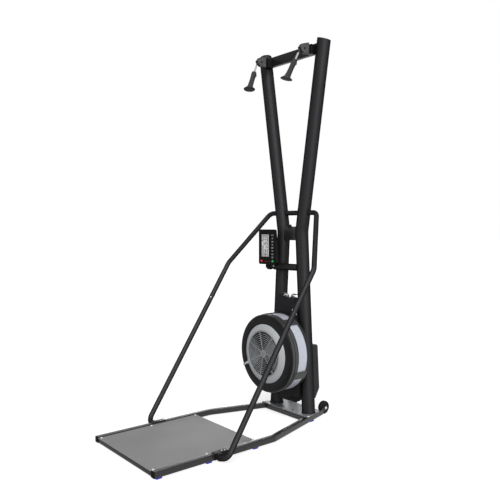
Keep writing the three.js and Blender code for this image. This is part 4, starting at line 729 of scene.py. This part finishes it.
# Fan back shell: the black rear half of the drum. Five straps reach forward over the band and
# hold the front ring, and four standoffs hold the shell to its carrier.
profile = [(221.4, 120), (221.4, 134.5), (220.6, 136.6), (219, 138.4), (215, 142.4), (212, 143.8), (12, 143.8),
           (12, 140.6), (211, 140.6), (217.9, 136), (217.9, 120)]
round_fan("fan_drum_back", profile, drum_y, charcoal_abs, *plastic, "fan_back_shell")
for n, turn in enumerate((57, 105, 123, -27, -153), 1):
    outline = arc(0, 0, 219.4, turn - 6, turn + 6, 10) + arc(0, 0, 225.8, turn + 6, turn - 6, 10)
    prism(f"fan_strap_{n}", outline, 938, 1027, on_spoke(0), sheen_abs, *plastic, bevel=1.4)
for n, (x, z) in enumerate(((62, 118), (62, -118), (-62, 118), (-62, -118)), 1):
    turned(f"fan_standoff_{n}", [(0, 0), (9, 0), (9, 6.6), (0, 6.6)], spot(x, 1040, fan_z + z), (0, 1, 0),
           black_abs, *plastic, sides=32)

# Grille: a pressed steel disc. Eight ring bars leave arc slots between seven spokes that meet at a
# plain round hub. It sits in the damper ring.
# Silver paint: satin, with aluminium flake of 0.1 mm, drawn at 0.6 mm so that it shows
silver_paint = finish("satin_silver_paint", "#a8aaad", 0.4, Specular_IOR_Level=0.3)
vary(silver_paint, "Noise", ("#a0a2a5", "#b1b3b6"), (0.3, 0.75), dent=(0.12, 0.0003), Scale=1800.0, Detail=1.0)
# The grille and the shutters are darker: plain steel under a grey wash of paint, patchy over 20 mm
grey_wash = finish("grey_washed_steel", "#838587", 0.45, 0.2, Specular_IOR_Level=0.2)
vary(grey_wash, "Noise", ("#787a7c", "#8b8d8f"), (0.3, 0.7), Scale=45.0, Detail=3.0)
# The shutters take a darker copy: painted shade for the hollow behind the grille
wash_with_painted_shade = reworked(grey_wash, "dark_washed_steel", ("#505152", "#5e5f60"))


def grille_tree():
    """Ring bars at an even pitch and evenly turned spokes, laid flat and then stood up on the fan's axis"""
    tree, given = new_tree("ringed_grille", "Seed", "Grille",
                           Float=("Innermost", "Pitch", "Bar", "Spoke", "Thickness", "Hub", "Rim", "Turn"),
                           Int=("Rings", "Spokes"), Vector=("Centre",))
    number = add(tree, "GeometryNodeInputIndex")
    homes = {}
    for key in ("Rings", "Spokes"):
        row = add(tree, "GeometryNodeMeshLine", {"Count": given[key], "Offset": (0, 0, 0)})
        homes[key] = add(tree, "GeometryNodeSetPosition", {"Geometry": row, "Position": (0, 0, 0)})
    ring = add(tree, "GeometryNodeCurvePrimitiveCircle", {"Radius": 1.0, "Resolution": 144})
    radius = add(tree, "ShaderNodeMath", {0: number, 1: given["Pitch"], 2: given["Innermost"]},
                 operation="MULTIPLY_ADD")
    size = add(tree, "ShaderNodeCombineXYZ", {0: radius, 1: radius, 2: 1.0})
    rings = add(tree, "GeometryNodeInstanceOnPoints", {"Points": homes["Rings"], "Instance": ring, "Scale": size})
    hub_end = add(tree, "ShaderNodeCombineXYZ", {0: given["Hub"]})
    rim_end = add(tree, "ShaderNodeCombineXYZ", {0: given["Rim"]})
    spoke = add(tree, "GeometryNodeCurvePrimitiveLine", {"Start": hub_end, "End": rim_end})
    step = add(tree, "ShaderNodeMath", {0: 2 * math.pi, 1: given["Spokes"]}, operation="DIVIDE")
    turn = add(tree, "ShaderNodeMath", {0: number, 1: step, 2: given["Turn"]}, operation="MULTIPLY_ADD")
    turn = add(tree, "ShaderNodeCombineXYZ", {2: turn})
    spokes = add(tree, "GeometryNodeInstanceOnPoints",
                 {"Points": homes["Spokes"], "Instance": spoke, "Rotation": turn})
    thinner = add(tree, "ShaderNodeMath", {0: given["Thickness"], 1: 0.0004}, operation="SUBTRACT")
    parts = add(tree, "GeometryNodeJoinGeometry")
    for runs, width, thickness, corner in ((rings, "Bar", given["Thickness"], 0.0012),
                                           (spokes, "Spoke", thinner, 0.001)):
        runs = add(tree, "GeometryNodeRealizeInstances", {"Geometry": runs})
        runs = add(tree, "GeometryNodeSetCurveNormal", {"Curve": runs}, mode="Z_UP")
        section = add(tree, "GeometryNodeCurvePrimitiveQuadrilateral", {"Width": given[width], "Height": thickness})
        section = add(tree, "GeometryNodeFilletCurve", {"Curve": section, "Radius": corner, "Count": 2}, mode="POLY")
        bars = add(tree, "GeometryNodeCurveToMesh", {"Curve": runs, "Profile Curve": section, "Fill Caps": True})
        tree.links.new(bars.outputs[0], parts.inputs[0])
    stood = add(tree, "GeometryNodeTransform",
                {"Geometry": parts, "Translation": given["Centre"], "Rotation": (math.pi / 2, 0, 0)})
    return ended(tree, "Grille", stood, given)


seed = polyline("grille_bars", [(0, 884, fan_z), (0, 885, fan_z)])
grille = grown(seed, grille_tree(), Innermost=0.0345, Pitch=0.0113, Bar=0.0036, Spoke=0.0056, Thickness=0.0038,
               Hub=0.02, Rim=0.129, Turn=math.radians(104), Rings=8, Spokes=7, Centre=spot(0, 884.5, fan_z),
               Material=grey_wash)
fitted(grille, "frame", "silver", "fan_grille")
damper_y = 882.5
round_fan("grille_boss", [(0, -1.4), (22.4, -1.4), (24, -0.7), (24.4, 0.2), (24.4, 3.8), (0, 3.8)], damper_y,
          grey_wash, "frame", "silver", sides=96)
round_fan("grille_rim", [(124.6, 0.5), (125.2, 0.1), (130.4, 0.1), (131, 0.7), (131, 3.9), (124.6, 3.9)], damper_y,
          grey_wash, "frame", "silver", sides=144)

# Damper: a dished silver ring round the grille that turns two shutter blades behind it. A short
# lever on its left side reaches over the black ring.
profile = [(132.4, 0.6), (133.2, 0), (134.8, 0.1), (165.4, 13.2), (167.3, 14.6), (167.5, 16.4), (135.6, 4),
           (135.2, 8), (132.4, 8)]
round_fan("damper_dish", profile, damper_y, silver_paint, "damper", "silver", "damper_ring", sides=144)
for n, turn in enumerate((0, 180), 1):
    outline = arc(0, 0, 27, turn - 42, turn + 42, 16) + arc(0, 0, 133, turn + 42, turn - 42, 24)
    prism(f"damper_blade_{n}", outline, 887.6, 889.9, on_spoke(0), wash_with_painted_shade, "damper", "silver")
outline = [(156, -7.5), (193, -5.4), *arc(201, 0, 4.6, -80, 80, 6), (193, 5.4), (156, 7.5)]
prism("damper_lever", outline, 884.2, 895.8, on_spoke(207), silver_paint, "damper", "silver", bevel=1.6)

# Fan rotor and shaft: behind the grille, the black bladed wheel and its ground steel shaft.
# They keep their solids.
dressed("fan_rotor", wheel_rubber)
dressed("fan_shaft", stainless)

# Cord spools and guide sheaves: moulded spools on the fan shaft, and two bright sheaves above the
# carrier that lead the cords into the uprights.
spool_y = {"right": 1081, "left": 1101}
profile = [(9.1, -9), (47, -9), (48, -8.2), (48, -7), (37.5, -6), (37, -5.4), (37, 5.4), (37.5, 6), (48, 7),
           (48, 8.2), (47, 9), (9.1, 9)]
for side, y in spool_y.items():
    round_fan(f"spool_drum_{side}", profile, y, black_abs, f"spool_{side}", "black_plastic", f"cord_spool_{side}",
              sides=72)


def grooved(radius, groove, width, bore):
    """The profile of a wheel with a groove for the cord"""
    half = width / 2
    return [(bore, -half), (radius - 0.8, -half), (radius, -half + 0.8), (radius, -half + 1.4), (groove + 1.4, -2.2),
            (groove, -1), (groove, 1), (groove + 1.4, 2.2), (radius, half - 1.4), (radius, half - 0.8),
            (radius - 0.8, half), (bore, half)]


guide_x, guide_y, guide_z = 30, 1091, 698
for side, k in sides:
    turned(f"guide_wheel_{side}", grooved(21, 18, 12, 5.3), spot(k * guide_x, guide_y, guide_z), (0, 1, 0), stainless,
           f"guide_{side}", "silver", f"guide_sheave_{side}")

# Drive cords and return bungee: 6 mm braided polyester over the sheaves and up inside the tower,
# and a 7 mm elastic cord from spool to spool under a peg.


def crossed(material, ways, **inputs):
    """Two sets of bands that cross, as strands or ribs do"""
    bands = [pattern(material, "Wave", settings={"bands_direction": way}, **inputs) for way in ways]
    return add(material.node_tree, "ShaderNodeMath", dict(enumerate(bands)), operation="MULTIPLY")


# Polyester braid: dull and dark, with a soft bloom of fibres over crossing strands 1 mm wide
braid = finish("braided_polyester", "#26272a", 0.85, Sheen_Weight=0.3)
vary(braid, crossed(braid, ("X", "DIAGONAL"), Scale=300.0, Distortion=0.5), ("#1d1e20", "#3a3b3f"),
     dent=(0.5, 0.0006))


def corner_round(cx, cz, radius, inward, outward):
    """Where two straight runs would meet if the wheel of that radius at (cx, cz) were a corner."""
    turn = 1 if inward[0] * outward[1] - inward[1] * outward[0] > 0 else -1
    a, b = (Vector((turn * v[1], -turn * v[0])).normalized() for v in (inward, outward))
    return Vector((cx, cz)) + (a + b) * (radius / (1 + a.dot(b)))


line, peg_line, kink_line, cord_r = 21.5, 14.5, 11.5, 3
head_x, cord_z = 180, 2106
peg_z = guide_z + line + peg_line
peg_x = upright_x(peg_z) - 9
beam_x = upright_x(cord_z)
for side, k in sides:
    start = Vector((k * 40.5, fan_z))
    first = corner_round(guide_x, guide_z, line, (guide_x - line - start.x, guide_z - start.y), (1, 0))
    aim = Vector((92 - kink_line, kink_z))
    second = corner_round(peg_x, peg_z, peg_line, (1, 0), aim - Vector((peg_x + peg_line, peg_z)))
    third = corner_round(92, kink_z, kink_line, aim - second, Vector((beam_x, cord_z)) - aim)
    points = [(start.x, spool_y[side], start.y), *((p.x, guide_y, p.y) for p in (first, second, third)),
              (beam_x, tower_y, cord_z), (head_x, tower_y, cord_z), (head_x, 1051.1, cord_z)]
    tube(f"tower_cord_{side}", [(k * x, y, z) for x, y, z in points], [line, peg_line, kink_line, 13.5, 13.5], cord_r,
         "frame", "cord", f"drive_cord_{side}", material=braid, sides=16)
tube("bungee_cord", [(-41, 1081, 384), (-41, 1081, 150), (-11, 1101, 150), (-41, 1101, 384)], [14, 14], 3.5,
     "frame", "cord", "return_bungee", material=braid, sides=16)

# Pulley heads: two grey side plates with a black rim between them round the nose, swivelling on
# a pin with a knob on top. The black bracket block behind them is bolted to the beam.
# Coated plate: an even mid grey, half matt, a little patchy over 17 mm
grey_plate = finish("grey_coated_plate", "#4c4c4d", 0.5, Specular_IOR_Level=0.2)
vary(grey_plate, "Noise", ("#3f3f40", "#58585a"), (0.3, 0.7), Scale=60.0, Detail=3.0)


def shrunk(points, distance):
    """The outline with every edge moved inwards, for one that runs anticlockwise."""
    moved = []
    for i, here in enumerate(points):
        before = (Vector(here) - Vector(points[i - 1])).normalized()
        after = (Vector(points[(i + 1) % len(points)]) - Vector(here)).normalized()
        a, b = Vector((-before.y, before.x)), Vector((-after.y, after.x))
        moved.append(tuple(Vector(here) + (a + b) * (distance / (1 + a.dot(b)))))
    return moved


pin_y, pulley_y, pulley_z, block_z = 1050, 1017, 2086, 2091.5
nose = [(pin_y, 2117), (1022, 2116), (1003, 2110), (985, 2088), (993, 2074), (1009, 2062), (pin_y, 2060)]
thin = shrunk(nose, 3)
axle = [(0, -12.7), (5.6, -12.7), (6, -12.1), (6, -11.4), (4, -11)]
pin = [(0, -31.4), (6.2, -31.4), (7, -30.6), (7, -27), (4.5, -26.7), (4.5, -22), (7.4, -21.6), (7.4, 21.6),
       (4.5, 22), (4.5, 26.8), (7.4, 27), (8, 27.8), (8, 31), (7, 32.2), (0, 32.4)]
for side, k in sides:
    x, head = k * head_x, f"head_{side}"

    def beside(a, b, d):
        return spot(k * (head_x + d), a, b)

    for part, low in (("outer", 8), ("inner", -11.5)):
        prism(f"head_cheek_{part}_{side}", nose, low, low + 3.5, beside, grey_plate, head, "charcoal_paint",
              f"head_housing_{side}", bevel=1.3)
    for part, first, last in (("top", 0, 4), ("foot", 4, 7)):
        prism(f"head_rim_{part}_{side}", nose[first:last] + thin[first:last][::-1], -8.2, 8.2, beside, black_abs,
              head, "black_plastic", bevel=0.5, parts=2)
    for n, (low, high) in enumerate(((2065, 2069.5), (2113.5, 2118)), 1):
        prism(f"head_ear_{n}_{side}", [(-9, -10), (9, -10), *arc(0, 0, 9.9, 0, 180, 12)], low, high,
              lambda a, b, d: spot(x + a, pin_y + b, d), black_abs, head, "black_plastic", bevel=0.8)
    middle = spot(x, pulley_y, pulley_z)
    turned(f"head_wheel_{side}", grooved(19.4, 16.5, 13, 4.3), middle, (1, 0, 0), black_abs,
           f"pulley_{side}", "black_plastic", f"head_pulley_{side}")
    turned(f"head_axle_{side}", axle + [(r, -h) for r, h in reversed(axle)], middle, (1, 0, 0), black_abs,
           head, "black_plastic", sides=32)
    prism(f"bracket_block_{side}", rounded(34, 53, 3, x, block_z), 1062.6, 1096.8, upended, black_abs,
          *plastic, f"head_bracket_{side}", bevel=1.2)
    turned(f"bracket_pin_{side}", pin, spot(x, pin_y, block_z), up, black_abs, *plastic, sides=36)
    prism(f"bracket_neck_{side}", rounded(13, 43, 2, x, block_z), 1052, 1063, upended, black_abs, *plastic)

# Pull cords and handles: the cord leaves the head's mouth, and a pale sleeve over its knot runs
# into a soft rubber grip that flares to a round pommel. A small lug stands on each grip.
slope = math.radians(25)
pull = Vector((0, -math.sin(slope), -math.cos(slope)))
mouth_y = pulley_y - 20 * math.tan((math.pi / 2 - slope) / 2)
# Nylon: pale and half matt, wound in ribs 3 mm wide, with painted shade that darkens their grooves
sleeve_plastic = finish("pale_nylon_sleeve", "#b4b6b9", 0.5)
vary(sleeve_plastic, "Wave", ("#707275", "#babcbf"), dent=(0.3, 0.0006), settings={"bands_direction": "DIAGONAL"},
     Scale=110.0, Distortion=1.0)
# Soft rubber: dull dark grey, knurled in diamonds 2.6 mm wide
grip_rubber = finish("soft_grip_rubber", "#303133", 0.7, Specular_IOR_Level=0.2)
vary(grip_rubber, crossed(grip_rubber, ("Z", "DIAGONAL"), Scale=120.0), ("#292a2c", "#37383a"), dent=(0.5, 0.0008))
sleeve = [(0, 12), (3.2, 12), (3.6, 13.4), (5, 16.4), (5.6, 18), (5.6, 45), (5.4, 47), (5, 50), (5, 66), (0, 66)]
profile = [(5.2, 59), (10.4, 59), (11.6, 59.8), (13.6, 62), (14.7, 64.5), (15, 67), (15, 79), (14.5, 90),
           (14.1, 105), (14.1, 115), (14.5, 130), (15, 146), (15.8, 154), (16.8, 161), (19.2, 166.6), (23, 170.8),
           (27.6, 174.4), (31, 176.8), (32.6, 178.4), (32.8, 179.8), (32, 181.4), (29, 182.6), (20, 183.4),
           (0, 183.8)]


def stretched(name, points, radius, bodies, start, end):
    """A free run of cord between two bodies, baked in place. The bodies are not used."""
    cord = grown(polyline(name, points), round_tube, Radius=radius / 1000, Sides=16, Material=braid)
    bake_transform(cord)


for side, k in sides:
    head, handle = f"head_{side}", f"handle_{side}"
    mouth = Vector((k * head_x, mouth_y, cord_z))
    tube(f"head_lead_{side}", [(k * head_x, 1048.9, cord_z), tuple(mouth), tuple(mouth + pull * 30)], [20], cord_r,
         head, "cord", f"head_cord_{side}", material=braid, sides=16)
    stretched(f"pull_cord_{side}", [mouth + pull * 29, mouth + pull * 54], cord_r, (head, handle),
              mouth + pull * 31, mouth + pull * 46)
    ends = [(k * head_x, y, cord_z) for y in (1056, 1044, 1054, 1046)]
    stretched(f"swivel_cord_{side}", ends[:2], 2.9, ("frame", head), *ends[2:])
    start = spot(*(mouth + pull * 38.5))
    way = Matrix.Rotation(math.radians(8) * k, 3, "Y") @ pull
    turned(f"grip_sleeve_{side}", sleeve, start, way, sleeve_plastic, handle, "pale_sleeve",
           f"handle_ferrule_{side}", sides=40)
    grip = turned(f"grip_{side}", profile, start, way, grip_rubber, handle, "rubber", f"handle_grip_{side}")
    rearward = (Vector((0, 1, 0)) - way * way.y).normalized()
    for point in grip.data.vertices:
        offset = (point.co - start) * 1000
        share = min(max((offset.dot(way) - 160) / 18, 0), 1)
        point.co -= way * (offset.dot(rearward) * share * math.tan(math.radians(15)) / 1000)
    flat = way.cross(Vector((0, 1, 0))).normalized()
    proud = flat.cross(way).normalized()
    if proud.y < 0:
        proud = -proud
    prism(f"grip_lug_{side}", [(68, 10), (70, 18), (73, 20.2), (80, 20), (82, 10)], -4.4, 4.4,
          lambda a, b, d: start + (way * a + proud * b + flat * d) / 1000, grip_rubber, handle, "rubber", bevel=1.5)

# Console bar: a stepped round bar welded to the right upright. It passes in front of the left
# upright, where one screw holds it, and ends in a rounded nose.
turn = math.radians(10)
along = Vector((-math.cos(turn), -math.sin(turn), 0))
bar_start = Vector((58, 1085, 877))
profile = [(0, -14), (20, -14), (20, 158.8), (19, 160.6), (16, 162.6), (16, 210), (15.2, 213.5), (13, 216.6),
           (9.4, 218.4), (0, 219)]
turned("console_rod", profile, spot(*bar_start), along, charcoal_coat, *coated, "console_bar", sides=56)
screws("console_rod_screw", [(spot(*(bar_start + along * 148 + Vector((0, -19.4, 3)))), (0.1, -1, 0.15))], 0.9)

# Console: a slim black ABS case, thicker at its foot, on a clamp that tilts on the bar. A pale
# liquid-crystal window shows rows of figures beside a column of small marks. Two keys lie below.
console_home = bar_start + along * 172


def console_spot(x, y, z):
    """Millimetres in the console's own frame, where -Y faces the user"""
    return spot(console_home.x + x * math.cos(turn) - y * math.sin(turn),
                console_home.y + x * math.sin(turn) + y * math.cos(turn), console_home.z + z)


def on_face(a, b, depth):
    return console_spot(a, -55 + depth, 116 + b)


def printed(name, bars, material, slot, depth=-0.5):
    """Thin bars of ink on the console's face, each given by its middle, width and height"""
    form = bmesh.new()
    for ink in bars:
        thicken(form, corners(*ink), depth, depth - 0.3, on_face)
    fitted(solid(name, form, material), "console", slot)


# The case: gloss black with a 1 mm haze of finger marks. It catches the light only at its edges.
black_gloss = finish("black_console_case", "#070708", 0.35, Specular_IOR_Level=0.08)
vary(black_gloss, "Noise", dull=(0.3, 0.42), Scale=900.0, Detail=2.0)
tall, thick, taper = 206, 30.8, 18
prism("console_case", rounded(128, tall, 11, count=8), 0, 1,
      lambda a, b, d: on_face(a, b, thick - taper * (b / tall + 0.5) if d else 0.1), black_gloss,
      "console", "black_plastic", "console_housing", bevel=2.4, parts=4)

# The display: a pale grey film behind clear acrylic, a little uneven over 40 mm, with dark ink
lcd_grey = finish("grey_lcd_film", "#e0e2e0", 0.3)
vary(lcd_grey, "Noise", ("#c4c6c4", "#d8dad8"), Scale=25.0)
prism("console_window", rounded(52, 129.6, 2, -13.6, 8), -0.6, 1.5, on_face, lcd_grey, "console", "screen",
      "console_screen", bevel=0.4, parts=2)
lcd_ink = finish("lcd_segment_ink", "#1c1e1f", 0.4)
vary(lcd_ink, "Noise", dull=(0.3, 0.5), Scale=60.0)
strokes = {"0": "abcdef", "1": "bc", "2": "abged", "3": "abgcd", "4": "fgbc", "5": "afgcd", "8": "abcdefg"}
segments = {"a": (0, 6.4), "b": (4.6, 3.2), "c": (4.6, -3.2), "d": (0, -6.4), "e": (-4.6, -3.2), "f": (-4.6, 3.2),
            "g": (0, 0)}
bars = []
for row, figures in enumerate(("000", "243", "125", "014", "032", "085")):
    b = 63 - row * 21.5
    for column, figure in enumerate(figures):
        for part in strokes[figure]:
            x, z = segments[part]
            bars.append((-30 + column * 16.4 + x, b + z, *((3.4, 6) if x else (9.6, 3.2))))
    bars.append((-13.6, b - 10.6, 48, 0.9))
printed("console_figures", bars, lcd_ink, "black_plastic")

# Pad printing: a flat, dull ink of 2.5 mm grain that stands for words and marks and spells nothing
pale_ink = finish("pale_pad_printing", "#9d9fa1", 0.55)
vary(pale_ink, "Noise", dull=(0.45, 0.65), Scale=400.0)
bars = []
for n, width in enumerate((15, 8, 13, 10, 14, 9, 12, 10)):
    b = 71 - n * 18.4
    bars += [(40, b, width, 2.4), (40 - width / 4, b - 5.2, width / 2, 2.4), (40 + width / 2.6, b - 4.4, 2.4, 5)]
printed("console_marks", bars, pale_ink, "pale_sleeve", -0.05)

# Silicone keys: clear, strong colours under a satin skin of 0.7 mm grain
key_level = -83.5
for colour, code, x in (("red", "#e0242c", -41), ("green", "#18a452", 41)):
    key_silicone = finish(f"{colour}_silicone_key", code, 0.4)
    vary(key_silicone, "Noise", dull=(0.32, 0.5), Scale=1500.0)
    profile = [(0, -4), (6.3, -4), (6.3, 0.8), (5.7, 1.5), (4.4, 1.75), (0, 1.8)]
    turned(f"key_{colour}", profile, on_face(x, key_level, 0), (math.sin(turn), -math.cos(turn), 0), key_silicone,
           f"{colour}_button", f"{colour}_key", f"button_{colour}", sides=40)

# Between the keys stand three small marks in a dull red ink of the same grain as the pale one
red_ink = finish("red_pad_printing", "#b3202a", 0.55)
vary(red_ink, "Noise", dull=(0.45, 0.65), Scale=400.0)
bars = [(-15 + 15 * n, key_level - drop, width, 1.4) for n in range(3) for drop, width in ((0, 5), (3.1, 3))]
printed("console_key_marks", bars, red_ink, "red_key", -0.05)

# The clamp under the console: a split ring on the bar and a neck up the back of the case, moulded
# in one and tightened by hand.
ring_x = -22
turned("console_clamp_ring", [(16.4, -12), (20.6, -12), (21.2, -11.2), (21.2, 11.2), (20.6, 12), (16.4, 12)],
       console_spot(ring_x, 0, 0), (math.cos(turn), math.sin(turn), 0), black_abs, "console", "black_plastic",
       "console_clamp", sides=56)
prism("console_clamp_neck", [(-23.6, 14), (-4, 14), (-19.6, 74), (-29, 74)], ring_x - 10, ring_x + 10,
      lambda a, b, d: console_spot(d, a, b), black_abs, "console", "black_plastic", bevel=2)

bpy.data.objects.remove(screw_head)
